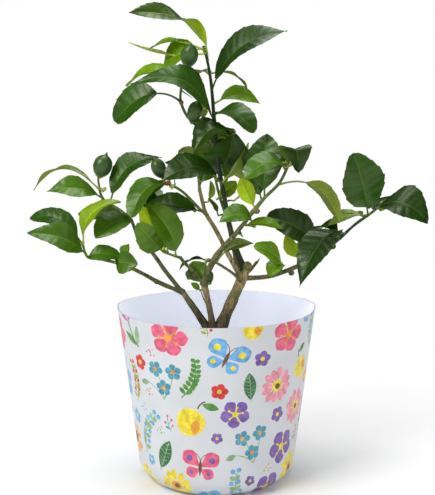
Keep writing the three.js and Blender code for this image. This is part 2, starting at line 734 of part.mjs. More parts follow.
// Leaves of a rear spray: tried in turn round the stem, and kept where the
// front foliage hides them and their middle is clear of those before.
function rearLeaves(stem, outlines, random) {
  const route = routeOf(stem.map(planned));
  const kept = [];
  const middles = [];
  for (let turn = 0; turn < REAR_TRIES && kept.length < REAR_LEAVES; turn += 1) {
    const share = REAR_LOWEST + REAR_SPAN * random();
    const angle = turn * GOLDEN_ANGLE;
    const length = REAR_LENGTH * (0.75 + 0.4 * random());
    const outward = REAR_OUTWARD + 0.5 * random();
    const away = Math.sqrt(1 - outward * outward) * (random() < REAR_FORWARD_SHARE ? REAR_FORWARD : 1);
    const reach = [
      length * outward * Math.cos(angle),
      length * away,
      length * outward * Math.sin(angle) * REAR_FLATNESS,
    ];
    const face = [REAR_FACE[0] * Math.cos(angle), REAR_FACE[1], REAR_FACE[2]];
    const shape = leaf(share, reach, REAR_WIDTH * (0.85 + 0.3 * random()), face);
    const base = route.getPointAt(share);
    const middle = leafFrame(base, shape, REAR_MIDDLE).centre;
    const isFree = middles.every((other) => other.distanceTo(middle) > REAR_CLEARANCE);
    if (isFree && hiddenShare(base, shape, outlines) === 1) {
      kept.push(shape);
      middles.push(middle);
    }
  }
  return kept;
}

addNode("pot", potBody(), "pot");
addNode("soil", soilBody(), "soil");
for (const [name, limb] of Object.entries(LIMBS)) {
  growLimb(name, limb);
}
const outlines = frontOutlines();
for (const [name, spray] of Object.entries(SPRAYS)) {
  growSpray(name, spray, [...plannedLeaves(spray), ...partnersOf(spray, outlines)]);
}
const random = seededNumbers(REAR_SEED);
for (const [name, spray] of Object.entries(REAR_SPRAYS)) {
  growSpray(name, spray, rearLeaves(spray.stem, outlines, random));
}

export default group;
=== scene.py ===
"""Looks of the potted lemon tree: a young tree of three stems in a thin printed cover pot.

The plan is in millimetres, with the tree's right on +X and its back on +Y. Meshes are built in
those millimetres and scaled to metres when they are finished.
"""

import math
import random
from typing import NamedTuple

import bpy
import numpy as np
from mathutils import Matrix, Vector, noise
from mathutils.bvhtree import BVHTree
from mathutils.geometry import delaunay_2d_cdt


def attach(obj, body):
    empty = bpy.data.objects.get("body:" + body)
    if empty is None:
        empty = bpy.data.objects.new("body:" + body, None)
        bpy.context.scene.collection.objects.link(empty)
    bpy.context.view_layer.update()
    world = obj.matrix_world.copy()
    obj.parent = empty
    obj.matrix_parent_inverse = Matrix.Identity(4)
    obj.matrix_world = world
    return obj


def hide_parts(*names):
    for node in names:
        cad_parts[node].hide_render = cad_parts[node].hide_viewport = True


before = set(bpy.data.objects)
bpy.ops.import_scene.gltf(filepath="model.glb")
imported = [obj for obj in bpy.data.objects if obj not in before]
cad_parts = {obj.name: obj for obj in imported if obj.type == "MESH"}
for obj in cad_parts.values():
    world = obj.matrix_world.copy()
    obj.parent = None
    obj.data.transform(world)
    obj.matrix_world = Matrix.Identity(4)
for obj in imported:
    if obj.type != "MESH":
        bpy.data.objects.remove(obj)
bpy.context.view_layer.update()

MM = 0.001
CIRCLE = 2 * math.pi

# Pot and soil
POT_HEIGHT = 132
RIM_RADIUS = 74.6
BASE_RADIUS = 58
FOOT_ROUND = 17
SLEEVE = 0.7
RIM_DIP = 3.4
RIM_DIP_POWER = 0.4
SOIL_TOP = 92

# The front drawing, and the eye that sees it
TILT = math.radians(7.25)
COS, SIN = math.cos(TILT), math.sin(TILT)
DRAWING_DISTANCE = 650.7
DRAWING_MIDDLE = [-0.8, 177.6]
DRAWING_STRETCH = 1.0068
FRONT_EYE = [0.8, -650, 256.5]

# Growth, as in the solids
GAP = 0.3
LEAF_THICKNESS = 1.5
LEAF_FOLD = 0.22
LEAF_STATIONS = [0.12, 0.36, 0.64, 0.86, 1]
PETIOLE_RADIUS = 0.7
MIDRIB_STEP = 0.01
PARTNER_MIN_WIDTH = 17
PARTNER_NARROWINGS = [0.5, 0.35, 0.2, 0.05, -0.1]
PARTNER_DEPTH = 0.8
PARTNER_SHIFT = 0.07
GOLDEN_ANGLE = 2.39996
REAR_TRIES = 900
REAR_LEAVES = 16
REAR_LENGTH = 50
REAR_WIDTH = 21
REAR_CLEARANCE = 8.5
REAR_SEED = 7
REAR_TINTS = ["deep", "dark", "mid", "fresh", "deep", "night"]

# How far a leaf's tip is drawn out
PLAIN = -0.02
ACUTE = 0.28
BLUNT = -0.26


class Leaf(NamedTuple):
    """A leaf grows from a share of its twig, reaches to its tip and looks to its face."""

    tint: str
    share: float
    reach: list
    width: float
    face: list
    bow: float = 0.2
    twist: float = 0
    petiole: float = 0.12
    peak: float = 0.5
    tip: float = PLAIN

    def along(self, station):
        """Share of the leaf's length at a station of its blade."""
        return self.petiole + (1 - self.petiole) * station


class Spray(NamedTuple):
    """A twig with its leaves and fruit. A fruit has its share, offset, radius and half height."""

    stem: list
    girth: list = (1.3, 0.9)
    leaves: list = ()
    fruits: list = ()


# Each limb: its guide, its radii from foot to tip and its finish
LIMBS = {
    "trunk_base": (
        [[-3, 0, 96], [-2.5, -0.5, 103], [-2, -1, 109], [-1.5, -1, 118]],
        [13.5, 10.2, 9, 8.6], "bark_brown"),
    "bough_right": (
        [[-1, 0, 112], [2, 0, 120], [8.5, 0, 135], [13.5, 1, 146], [17, 1, 154], [21, 1, 163.5]],
        [5.2, 4.9, 4.4, 4, 4.1, 3.5], "bark_tan"),
    "bough_middle": (
        [[-3.5, -3, 112], [-5, -4, 123], [-8, -6, 139], [-11, -7, 151.5]], [2.9, 2.5, 2.3, 2.4], "bark_tan"),
    "bough_left": (
        [[-5, -2, 113], [-9.5, -3, 120], [-21, -3, 137], [-27, -3, 145]], [3.4, 3, 2.4, 2.2], "bark_olive"),
    "bough_left_low": (
        [[-26.5, -3, 144.5], [-43.5, -6, 151.5], [-58.5, -9, 159.5], [-73, -12, 166]],
        [1.7, 1.5, 1.3], "bark_green"),
    "bough_left_high": (
        [[-26.5, -3, 144], [-40, -2, 161], [-49.5, 0, 174], [-58, 2, 182.5], [-65, 4, 198.5]],
        [1.7, 1.5, 1.3], "bark_green"),
    "bough_middle_left": (
        [[-10.5, -7, 150.5], [-17.5, -9, 159], [-25, -11, 166], [-28.5, -12, 170.5]],
        [1.6, 1.3, 1.2], "bark_green"),
    "bough_middle_right": (
        [[-11, -7, 150], [-8, -10, 159.5], [-0.5, -14, 173], [10, -18, 184.5], [25.5, -23, 204]],
        [2.4, 2.3, 1.8, 1.5], "bark_green"),
    "bough_right_low": (
        [[19, 1, 155], [34.5, 3, 156], [48, 4, 159.5], [71.5, 9, 170.5], [90, 12, 184.5]],
        [1.9, 1.7, 1.6, 1.3], "bark_green"),
    "bough_leader": (
        [[19.5, 1, 160.5], [14.5, 2, 172], [9, 3, 190.5], [4, 4, 216.5], [-0.5, 4, 240], [-3.2, 4, 270]],
        [2.5, 2, 1.8, 1.7, 1.5], "bark_dark"),
    "bough_second": (
        [[17, 0, 155], [7.5, 0, 172], [-2, 5, 190.5], [-9.5, 10, 203], [-14, 13, 220]],
        [1.9, 1.7, 1.5, 1.3], "bark_tan"),
    "bough_inner": ([[17, -2, 153], [10, -3.5, 159], [0, -5, 165.5]], [1.4, 1.1, 1], "bark_green"),
    "bough_stub": ([[19.5, 1, 158], [23.5, 1, 161], [28.5, 1, 167]], [1.3, 1.1], "bark_green"),
    "bough_back": (
        [[16, 2, 153], [13, 15, 168], [10, 32, 182], [6, 48, 200]], [1.9, 1.6, 1.4], "bark_green"),
}

SPRAYS = {
    "foliage_top": Spray([[-3.2, 4, 269.5], [-5, 4, 293.5], [-7, 3, 308.5], [-11, 2, 326]], [1.5, 0.9], [
        Leaf("turned", 0.82, [-58, -16, 35], 23, [0.62, 0.85, 0.42], 0.39, -118, 0.04, 0.34, tip=ACUTE),
        Leaf("dark", 0.42, [56, -14, 44], 30, [-0.45, -0.6, 0.65], tip=ACUTE),
        Leaf("deep", 0.05, [-59, -20, 26], 28, [0.35, -0.6, 0.65], 0.31, 0, 0.04, 0.56, tip=ACUTE),
        Leaf("deep", 0.1, [30, -26, -13], 25, [0.35, -0.7, 0.6], 0.22, 0, 0.06, tip=BLUNT),
        Leaf("bright", 0.24, [35, 16, 0], 17, [0.15, -0.45, 0.9], 0.2, 30, tip=ACUTE),
        Leaf("grey", 0.64, [28, 8, -12], 12, [0.3, -0.1, 0.95], tip=ACUTE),
        Leaf("bright", 0.97, [-31, 26, -16], 26, [0.1, -0.8, 0.55], 0.14, tip=BLUNT),
        Leaf("bright", 0.94, [-41, 24, 1], 13, [0.1, -0.5, 0.8], 0.14, 0, 0.42, tip=ACUTE),
        Leaf("pale", 0.91, [-57, 30, 8], 14, [0.15, -0.1, 0.95], -0.07, 0, 0.4, tip=ACUTE),
        Leaf("grey", 0.62, [-13, 22, -4], 13, [0.1, -0.3, 0.95]),
    ]),
    "foliage_top_left": Spray(
        [[-3.2, 4, 266.5], [-14, 0, 266.5], [-23, -2, 274], [-28, -3, 285], [-28, -3, 293], [-23, -2, 311]],
        [1.2, 0.8], [
        Leaf("deep", 0.56, [-49, 4, -14], 30, [-0.3, -0.6, 0.75], 0.29, -20, 0.28, 0.4, tip=BLUNT),
        Leaf("bright", 0.8, [-41, 20, -3], 24, [-0.1, -0.45, 0.9], 0.22, tip=BLUNT),
    ], [(1, [1.5, -6, 7], 6.3, 8.6), (0.3, [2, -1, 7], 5.4, 7.8)]),
    "foliage_middle_right": Spray([[-1, 4, 249], [4, 1, 256], [12, -1, 262.5]], [1.1, 0.8], [
        Leaf("dark", 0.98, [-30, -22, -15], 29, [-0.3, -0.55, 0.75], 0.28, 0, 0.03, tip=ACUTE),
        Leaf("deep", 0.94, [-9, 24, -30], 34, [0.2, -0.85, 0.4], 0.14, 0, 0.02, tip=BLUNT),
    ]),
    "foliage_centre": Spray([[2.5, 4, 224], [1.5, -4, 226], [-1, -9, 227.5]], [1.1, 0.8], [
        Leaf("dark", 0.98, [-41, -22, -1], 30, [0.05, -0.6, 0.8], 0.27, 0, 0.04),
        Leaf("pale", 0.3, [20, 6, 30], 15, [0.8, -0.45, -0.4], 0.06, tip=ACUTE),
    ]),
    "foliage_centre_rear": Spray([[-14, 13, 219], [-15, 14, 230], [-17, 15, 243]], [1.2, 0.9], [
        Leaf("mid", 0.15, [9, 14, 25], 18, [0.3, -0.85, 0.4], 0.1),
        Leaf("dark", 0.5, [-22, 20, 8], 19, [-0.2, -0.5, 0.8], 0.3),
        Leaf("grey", 0.97, [-13, 6, 6], 12, [-0.2, -0.6, 0.7]),
    ]),
    "foliage_centre_left": Spray(
        [[-8, 9, 201], [-14, 5, 206], [-28.5, -3, 220], [-41, -6, 226]], [1.2, 0.9], [
        Leaf("deep", 0.1, [-44, 6, 5], 21, [-0.1, -0.6, 0.75], 0.1),
        Leaf("mid", 0.86, [-29, -24, -24], 27, [-0.45, -0.6, 0.65], 0.27, 0, 0.06, tip=BLUNT),
    ], [(0.97, [-4.5, 0, 10.5], 5.4, 7.2)]),
    "foliage_right_middle": Spray(
        [[25, -23, 203.3], [33.5, -25, 213.5], [45, -28, 225], [52, -29, 238.5]], [1.5, 0.9], [
        Leaf("bright", 0.08, [-11, -2, 24], 13, [-0.3, 0.8, 0.4], 0.12, tip=ACUTE),
        Leaf("mid", 0.97, [-32, -18, -10], 24, [-0.2, -0.6, 0.75], 0.24, 0, 0.04, tip=BLUNT),
        Leaf("deep", 0.32, [1, 16, 47], 27, [-0.15, -0.9, 0.3], 0.1),
        Leaf("dark", 0.97, [8, -14, -5], 24, [0.15, -0.45, 0.88], 0.95, 0, 0.04, tip=BLUNT),
        Leaf("grey", 0.62, [46, 16, -28], 20, [0.25, 0.45, 0.8], 0.28, 0, 0.36, tip=ACUTE),
        Leaf("dark", 0.99, [-10, 8, 9], 10, [0, -0.5, 0.8]),
    ]),
    "foliage_inner_right": Spray([[18, -20.5, 194.5], [22.5, -26, 194], [27, -30, 193]], [1, 0.8], [
        Leaf("mid", 0.95, [-26, -12, 3], 21, [0, -0.6, 0.8], 0.34),
        Leaf("bright", 0.3, [28, 4, -3], 15, [0, -0.4, 0.88], 0.1, 0, 0.02, tip=ACUTE),
    ]),
    "foliage_right_inner": Spray([[45.5, 3.5, 158], [46.5, 0.5, 161.5], [47, -1.5, 165]], [0.9, 0.8], [
        Leaf("bright", 0.97, [-21, -14, 14], 17, [0.5, -0.65, 0.5], 0.14, tip=BLUNT),
        Leaf("bright", 0.85, [-9, -12, -8], 15, [-0.2, -0.6, 0.7], 0.3, 0, 0.04),
    ]),
    "foliage_right_low": Spray([[58, 6, 163], [62, 9, 170], [67, 10, 176], [72, 9, 181]], [1.2, 0.8], [
        Leaf("bright", 0.25, [-11, -4, 19], 11, [-0.5, 0.7, 0.3], 0.12, tip=ACUTE),
        Leaf("dark", 0.98, [-36, -12, 20], 27, [-0.1, -0.75, 0.6], 0.14, 0, 0.06, tip=BLUNT),
    ]),
    "foliage_right_far": Spray(
        [[89.5, 12, 184], [102.5, 13, 195.5], [112.5, 14, 202.5], [120.5, 14, 209]], [1.2, 0.9], [
        Leaf("dark", 0.12, [-33, -38, -39], 26, [-0.5, -0.75, 0.45], 0.25, 0, 0.04, 0.42, tip=ACUTE),
        Leaf("grey", 0.7, [-33, 14, -11], 19, [-0.15, -0.35, 0.92], 0.12, tip=ACUTE),
        Leaf("deep", 0.69, [-11, -16, 46], 33, [0.05, -0.95, 0.3], 0.1, 0, 0.14, tip=BLUNT),
        Leaf("dark", 0.9, [38, -22, -11], 34, [0.25, -0.7, 0.65], 0.29, 0, 0.02, tip=BLUNT),
    ]),
    "foliage_left_high": Spray(
        [[-64.7, 4, 197.8], [-73, 5, 205], [-86, 5, 214], [-89.5, 5, 228]], [1.2, 0.8], [
        Leaf("grey", 0.8, [-49, 24, 0], 13, [0, -0.15, 1], 0.28, tip=ACUTE),
        Leaf("mid", 0.64, [-42, -14, 5], 20, [-0.1, -0.7, 0.7], 0.18, tip=ACUTE),
        Leaf("deep", 0.48, [38, 16, 34], 25, [-0.35, -0.6, 0.7], 0.27, 0, 0.12, tip=BLUNT),
        Leaf("mid", 0.05, [-38, 16, 3], 18, [-0.1, -0.6, 0.75], 0.05),
        Leaf("mid", 0.02, [-26, -24, -14], 25, [-0.3, -0.8, 0.45], 0.16, 0, 0.04),
    ], [(0.99, [3.5, 0, 10], 7, 8.4)]),
    "foliage_left_low": Spray(
        [[-72.4, -12, 165.7], [-88, -14, 169], [-97, -15, 170.5], [-101, -15, 180]], [1.2, 0.8], [
        Leaf("mid", 0.8, [-43, -20, 15], 23, [-0.1, -0.75, 0.65], 0.18, 0, 0.06, tip=ACUTE),
        Leaf("deep", 0.98, [-39, 16, 19], 18, [0.5, -0.5, 0.7], 0.24, -40),
        Leaf("lime", 0.95, [28, 8, 33], 21, [-0.6, -0.5, 0.6], 0.28, 0, 0.1),
        Leaf("mid", 0.72, [26, 4, -1], 15, [0.05, -0.7, 0.7], 0.18, 0, 0.02, tip=ACUTE),
        Leaf("mid", 0.1, [16, -12, -1], 18, [0.1, -0.95, 0.25], 0.1, 0, 0.04),
    ]),
    "foliage_inner_left": Spray([[-28, -12, 170], [-33, -13, 171.5], [-42, -15, 175]], [1, 0.8], [
        Leaf("fresh", 0.9, [-20, -16, 21], 21, [-0.2, -0.95, 0.25], 0.1, tip=BLUNT),
        Leaf("fresh", 0.25, [-21, -10, 38], 26, [0.55, -0.7, 0.35], 0.16, 0, 0.1, tip=BLUNT),
        Leaf("lime", 0.75, [-20, 12, 35], 17, [-0.1, 0.9, 0.2], 0.08),
    ]),
    "foliage_inner_low": Spray([[0.6, -5, 165], [-3, -5.5, 167], [-8, -5, 168]], [0.9, 0.8], [
        Leaf("grey", 0.3, [28, -3, 14], 13, [0.1, -0.45, 0.9], 0.2, 0, 0.3),
        Leaf("dark", 0.9, [-22, 12, -7], 9, [0, -0.1, 1], 0.18),
        Leaf("fresh", 0.97, [-13, 3, -14], 17, [0.1, -0.9, 0.35], 0.08),
    ]),
}

REAR_SPRAYS = {
    "foliage_back_top": Spray([[-1.5, 5.5, 247], [-4, 16, 253], [-7, 27, 259], [-8, 36, 266]]),
    "foliage_back": Spray([[6.3, 47, 199], [0, 60, 218], [-4, 70, 238], [-6, 76, 250]]),
    "foliage_back_left": Spray([[-49.5, 0, 174], [-48, 22, 186], [-47, 42, 201], [-47, 56, 215]]),
    "foliage_back_right": Spray([[71.5, 9, 170.5], [70, 26, 176], [67, 42, 182], [64, 56, 190]]),
}
# Colours of a leaf's upper side, its under side and its midrib
TINTS = {
    "night": [(15, 34, 3), (85, 112, 26), (38, 66, 14)],
    "dark": [(25, 52, 3), (93, 122, 26), (51, 84, 15)],
    "deep": [(36, 70, 3), (102, 132, 22), (64, 100, 14)],
    "mid": [(57, 94, 8), (114, 146, 28), (89, 124, 22)],
    "fresh": [(72, 110, 3), (127, 156, 22), (104, 140, 18)],
    "bright": [(93, 132, 3), (140, 166, 24), (125, 158, 21)],
    "lime": [(112, 144, 10), (142, 164, 18), (161, 180, 34)],
    "olive": [(68, 88, 4), (110, 128, 20), (95, 114, 18)],
    # The grey tint is a greyish green that also stands in for the sheen of upward-facing glossy leaves:
    # partly painted sheen.
    "grey": [(93, 112, 42), (119, 136, 48), (121, 138, 60)],
    "pale": [(138, 158, 49), (155, 170, 53), (178, 192, 78)],
    "turned": [(49, 74, 10), (140, 168, 14), (114, 144, 27)],
}

# Small leaves that fill in between the planned ones, each with its foot on the plan
SMALL_LEAVES = [
    ([9.5, 8, 188], Leaf("bright", 0, [9, 5, -3.5], 6, [0, -0.6, 0.8])),
    ([3, 7, 220], Leaf("bright", 0, [-1.5, 4, 21], 5, [0.7, -0.7, 0.2])),
    ([-1.5, 6, 213], Leaf("lime", 0, [15, 6, 13], 11, [0.3, -0.9, 0.3], 0.14)),
    ([11.5, 0, 212], Leaf("pale", 0, [5, 3, 13], 4.5, [0.8, -0.5, -0.3])),
    ([-8, 10, 211], Leaf("pale", 0, [2, 3, 16], 6, [0.6, -0.8, 0.2])),
    ([0, 5, 201], Leaf("olive", 0, [-8, 2, 13], 5.5, [0.7, -0.6, 0.3], 0.1)),
    ([-11, 4, 271], Leaf("pale", 0, [-4, 6, 14], 9, [0.4, -0.8, 0.2], 0.1)),
    ([-94, 3, 206], Leaf("grey", 0, [-8, 4, -3], 4, [0, -0.3, 0.9])),
    ([-72, -10, 170], Leaf("bright", 0, [6, -3, 10], 8, [-0.5, -0.8, 0.3], 0.14)),
    ([-72, -10, 171], Leaf("bright", 0, [5, 3, 9], 5, [0.5, -0.8, 0.2], 0.1)),
    ([-13.5, -6, 146], Leaf("fresh", 0, [-7, -2, 6], 5, [0.2, -0.9, 0.4], 0.1)),
]

# Buds in clusters: the middle on the plan, how many, how far they spread, and their finish
BUD_CLUSTERS = [
    ([51.5, -30, 236.5], 13, 4.6, "bud_green"),
    ([-38.5, -13, 223.5], 8, 3.6, "bud_brown"),
    ([-34.5, -14, 220.5], 6, 3.0, "bud_green"),
    ([-85.5, 2.5, 218.5], 6, 2.8, "bud_green"),
    ([-24, -3, 312], 4, 2.2, "bud_brown"),
    ([-8, -5, 168], 3, 1.8, "bud_green"),
    ([120.5, 14, 209], 3, 1.6, "bud_green"),
    ([-101, -15, 180], 3, 1.5, "bud_green"),
]

# Young fruit that is too small for the plan: middle, radius and half height
TINY_FRUITS = [([-22.4, -10, 158], 2.3, 2.8), ([-6.6, -9.5, 156], 2.9, 4.6)]

# Short spurs and side twigs: from, to and radius at the foot
SPURS = [
    ([-32.3, -12, 223.5], [-33, -14, 231], 0.55),
    ([-27.8, -3, 293.5], [-19.5, -5, 287.8], 0.6),
    ([28, 1, 166], [30.5, 0, 169.5], 0.9),
    ([-7, -5, 131.5], [-10.8, -6, 139], 0.8),
    ([-10.8, -6, 139], [-13.7, -6, 147], 0.6),
]

# Swellings where twigs once stood: middle, radius and finish
NODES = [
    ([28.3, -23.5, 204.5], 2.3, "bark_green"),
    ([54, 5, 159], 2.4, "bark_green"),
    ([85, 11.5, 178.5], 2.4, "bark_green"),
    ([-27.7, -3, 284.5], 1.9, "bud_brown"),
    ([21, 1, 163.5], 4.3, "bark_tan"),
    ([-11, -7, 151.5], 3.0, "bark_tan"),
    ([-27, -3, 145], 2.6, "bark_green"),
    ([-46, -7, 152.5], 2.1, "bark_green"),
]


def planned(point):
    """Place of a point of the front drawing, which shows the tree as the front eye sees it."""
    x, y, z = point
    above = (z - DRAWING_MIDDLE[1]) * DRAWING_STRETCH
    share = (y - FRONT_EYE[1]) / (above * SIN + DRAWING_DISTANCE * COS)
    rise = above * COS - DRAWING_DISTANCE * SIN
    return np.array([FRONT_EYE[0] + share * (x - DRAWING_MIDDLE[0]), y, FRONT_EYE[2] + share * rise])


def drawn(place):
    """The opposite of planned: a place on the front drawing."""
    dx, dy, dz = place - FRONT_EYE
    scale = DRAWING_DISTANCE / (dy * COS - dz * SIN)
    above = (dy * SIN + dz * COS) * scale / DRAWING_STRETCH
    return np.array([dx * scale + DRAWING_MIDDLE[0], place[1], above + DRAWING_MIDDLE[1]])


def lifted(base, shape):
    """The shape of a drawn leaf that grows from base, off the drawing and into its depth."""
    reach = planned(drawn(base) + shape.reach) - base
    middle = base[1] + shape.reach[1] / 2
    scale = (middle - FRONT_EYE[1]) / -FRONT_EYE[1]
    return shape._replace(reach=reach, width=shape.width * scale)


def unit(vectors):
    vectors = np.asarray(vectors, float)
    return vectors / np.linalg.norm(vectors, axis=-1, keepdims=True)


def lengths_of(line):
    """Length from the start of a line to each of its points."""
    return np.concatenate([[0], np.cumsum(np.linalg.norm(np.diff(line, axis=0), axis=1))])


class Route:
    """Smooth line through the guide, measured along its length."""

    SAMPLES = 200

    def __init__(self, guide):
        points = np.array(guide, float)
        last = len(points) - 1
        line = []
        for place in np.linspace(0, last, self.SAMPLES + 1):
            start = min(int(place), last - 1)
            line.append(self._between(points, start, place - start))
        self.line = np.array(line)
        self.lengths = lengths_of(self.line)
        self.length = self.lengths[-1]

    @staticmethod
    def _between(points, start, part):
        p1, p2 = points[start], points[start + 1]
        p0 = points[start - 1] if start > 0 else 2 * points[0] - points[1]
        p3 = points[start + 2] if start + 2 < len(points) else 2 * points[-1] - points[-2]
        d0, d1, d2 = (np.linalg.norm(b - a) ** 0.5 for a, b in ((p0, p1), (p1, p2), (p2, p3)))
        t1 = ((p1 - p0) / d0 - (p2 - p0) / (d0 + d1) + (p2 - p1) / d1) * d1
        t2 = ((p2 - p1) / d1 - (p3 - p1) / (d1 + d2) + (p3 - p2) / d2) * d1
        square = -3 * p1 + 3 * p2 - 2 * t1 - t2
        cube = 2 * p1 - 2 * p2 + t1 + t2
        return p1 + t1 * part + square * part**2 + cube * part**3

    def at(self, share):
        """Places at shares of the length."""
        distance = np.asarray(share, float) * self.length
        axes = [np.interp(distance, self.lengths, self.line[:, axis]) for axis in range(3)]
        return np.stack(axes, axis=-1)


def blade_outline(station):
    """Half width of the plain blade as a share of its half width, from foot to tip."""
    return np.sin(np.pi * np.asarray(station, float) ** 0.9).clip(0) ** 0.75


def leaf_frames(base, shape, shares):
    """Frames along the leaf's arched midrib: centre, side and up at each share."""
    shares = np.asarray(shares, float)
    reach = np.array(shape.reach, float)
    length = np.linalg.norm(reach)
    along = reach / length
    face = np.array(shape.face, float)
    face = unit(face - along * face.dot(along))
    skew = math.log(0.5) / math.log(shape.peak)

    def midrib(places):
        turn = np.maximum(0, places) ** skew
        rise = shape.bow * length * 4 * turn * (1 - turn)
        return base + reach * places[..., None] + face * rise[..., None]

    tangent = unit(midrib(shares + MIDRIB_STEP) - midrib(shares - MIDRIB_STEP))
    up = unit(face - tangent * (tangent @ face)[..., None])
    turn = np.radians(shape.twist) * shares[..., None]
    up = up * np.cos(turn) + np.cross(tangent, up) * np.sin(turn)
    return midrib(shares), np.cross(up, tangent), up


def front_view(points):
    """Places on the front view."""
    across, depth, above = np.moveaxis(points - np.array(FRONT_EYE), -1, 0)
    return np.stack([across / depth, above / depth], axis=-1)


def leaf_edge(base, shape):
    stations = np.array(LEAF_STATIONS)
    centre, side, _ = leaf_frames(base, shape, shape.along(stations))
    half = side * (shape.width / 2 * blade_outline(stations))[:, None]
    return np.concatenate([centre + half, (centre - half)[::-1]])


def is_inside(spot, outline):
    x, y = spot
    x1, y1 = outline.T
    x2, y2 = np.roll(outline, -1, axis=0).T
    crosses = (y1 > y) != (y2 > y)
    slope = (x2 - x1)[crosses] / (y2 - y1)[crosses]
    return np.count_nonzero(x < slope * (y - y1[crosses]) + x1[crosses]) % 2 == 1


def front_outlines():
    """Outlines of the planned leaves as the front view shows them."""
    outlines = []
    for spray in SPRAYS.values():
        route = Route([planned(point) for point in spray.stem])
        for sketch in spray.leaves:
            base = route.at(sketch.share)
            edge = leaf_edge(base, lifted(base, sketch))
            outlines.append(front_view(np.concatenate([[base], edge])))
    return outlines


def is_hidden(base, shape, outlines):
    """Whether the front foliage hides the whole edge of the leaf."""
    spots = front_view(leaf_edge(base, shape))
    return all(any(is_inside(spot, outline) for outline in outlines) for spot in spots)


def partner_of(route, shape, outlines):
    """A leaf's partner, which points to the back: the widest one that the front foliage hides."""
    dx, dy, dz = shape.reach
    fx, fy, fz = shape.face
    share = max(0.04, shape.share - PARTNER_SHIFT)
    for narrowing in PARTNER_NARROWINGS:
        partner = shape._replace(
            tint="mid" if shape.tint == "turned" else shape.tint,
            share=share,
            reach=[dx * narrowing, PARTNER_DEPTH * math.hypot(dx, dy, dz), dz * narrowing],
            face=[fx * 0.5, 0.3 * abs(fy), fz],
            width=shape.width * 0.9,
            twist=0,
            tip=PLAIN,
        )
        if is_hidden(route.at(share), partner, outlines):
            return partner
    return None


def seeded_numbers(seed):
    """Even numbers between 0 and 1, the same ones that the solids grew by."""
    state = float(seed)
    while True:
        state = math.fmod(state * 1103515245.0 + 12345.0, 2147483648.0)
        yield state / 2147483648.0


def rear_leaves(route, outlines, numbers):
    """Leaves of a rear spray, kept where the front foliage hides them and clear of one another."""
    kept, middles = [], []
    for turn in range(REAR_TRIES):
        if len(kept) == REAR_LEAVES:
            break
        share = 0.3 + 0.69 * next(numbers)
        cos, sin = math.cos(turn * GOLDEN_ANGLE), math.sin(turn * GOLDEN_ANGLE)
        length = REAR_LENGTH * (0.75 + 0.4 * next(numbers))
        outward = 0.35 + 0.5 * next(numbers)
        away = -0.6 if next(numbers) < 0.2 else 1
        depth = length * math.sqrt(1 - outward**2) * away
        reach = [length * outward * cos, depth, length * outward * sin * 0.7]
        width = REAR_WIDTH * (0.85 + 0.3 * next(numbers))
        tint = REAR_TINTS[len(kept) % len(REAR_TINTS)]
        shape = Leaf(tint, share, reach, width, [0.3 * cos, 0.35, 0.85])
        base = route.at(share)
        middle = leaf_frames(base, shape, 0.6)[0]
        is_free = all(np.linalg.norm(other - middle) > REAR_CLEARANCE for other in middles)
        if is_free and is_hidden(base, shape, outlines):
            kept.append(shape)
            middles.append(middle)
    return kept


def grid_faces(rows, columns, closed=False):
    """Faces over a grid of places. A closed grid joins its last column to its first."""
    faces = []
    for row in range(rows - 1):
        for column in range(columns if closed else columns - 1):
            a = row * columns + column
            b = row * columns + (column + 1) % columns
            faces.append([a, b, b + columns, a + columns])
    return faces


def coarse_leaf(base, shape, spare):
    """The plain solid of a leaf, which tells whether the leaf has room."""
    stations = [(0, PETIOLE_RADIUS, 0), (shape.petiole, PETIOLE_RADIUS, 0)]
    for station in LEAF_STATIONS:
        half = max(0.5, shape.width / 2 * float(blade_outline(station)))
        stations.append((shape.along(station), half, LEAF_FOLD * half))
    shares, half, lift = np.array(stations).T
    centre, side, up = leaf_frames(base, shape, shares)
    middle = centre + up * lift[:, None]
    across = side * (half + spare)[:, None]
    thin = up * (LEAF_THICKNESS / 2 + spare)
    corners = [middle + across, centre + thin, middle - across, centre - thin]
    places = np.stack(corners, axis=1).reshape(-1, 3)
    last = len(places) - 4
    faces = grid_faces(len(stations), 4, closed=True)
    faces += [[0, 3, 2, 1], [last, last + 1, last + 2, last + 3]]
    return BVHTree.FromPolygons(places.tolist(), faces)


class Piece:
    """Places and faces of one visible piece, with a finish for each face."""

    def __init__(self, name):
        self.name = name
        self.places = []
        self.faces = []
        self.finishes = []
        self.count = 0

    def add(self, places, faces, finish):
        """Adds faces on places. finish is one name, or a name for each face."""
        start = self.count
        self.places.append(np.asarray(places, float).reshape(-1, 3))
        self.count += len(self.places[-1])
        self.faces.extend([start + corner for corner in face] for face in faces)
        self.finishes.extend([finish] * len(faces) if isinstance(finish, str) else finish)

    def build(self, sharp=50):
        mesh = bpy.data.meshes.new(self.name)
        mesh.from_pydata((np.concatenate(self.places) * MM).tolist(), [], self.faces)
        names = sorted(set(self.finishes))
        for name in names:
            mesh.materials.append(FINISHES[name])
        mesh.polygons.foreach_set("material_index", [names.index(name) for name in self.finishes])
        mesh.polygons.foreach_set("use_smooth", [True] * len(mesh.polygons))
        mesh.set_sharp_from_angle(angle=math.radians(sharp))
        mesh.update()
        made = bpy.data.objects.new(self.name, mesh)
        bpy.context.scene.collection.objects.link(made)
        return made


def even(along, angle):
    return 1


def closed_rings(piece, rings, ends, finish, sides, relief):
    """Closed body of rings: each has its middle, its two axes, its radius and its distance."""
    places = []
    for middle, normal, across, radius, distance in rings:
        for side in range(sides):
            angle = CIRCLE * side / sides
            scale = radius * relief(distance, angle)
            places.append(middle + (normal * math.cos(angle) + across * math.sin(angle)) * scale)
    faces = grid_faces(len(rings), sides, closed=True)
    last = len(places)
    for side in range(sides):
        following = (side + 1) % sides
        faces.append([last, following, side])
        faces.append([last + 1, last - sides + side, last - sides + following])
    piece.add(places + ends, faces, finish)


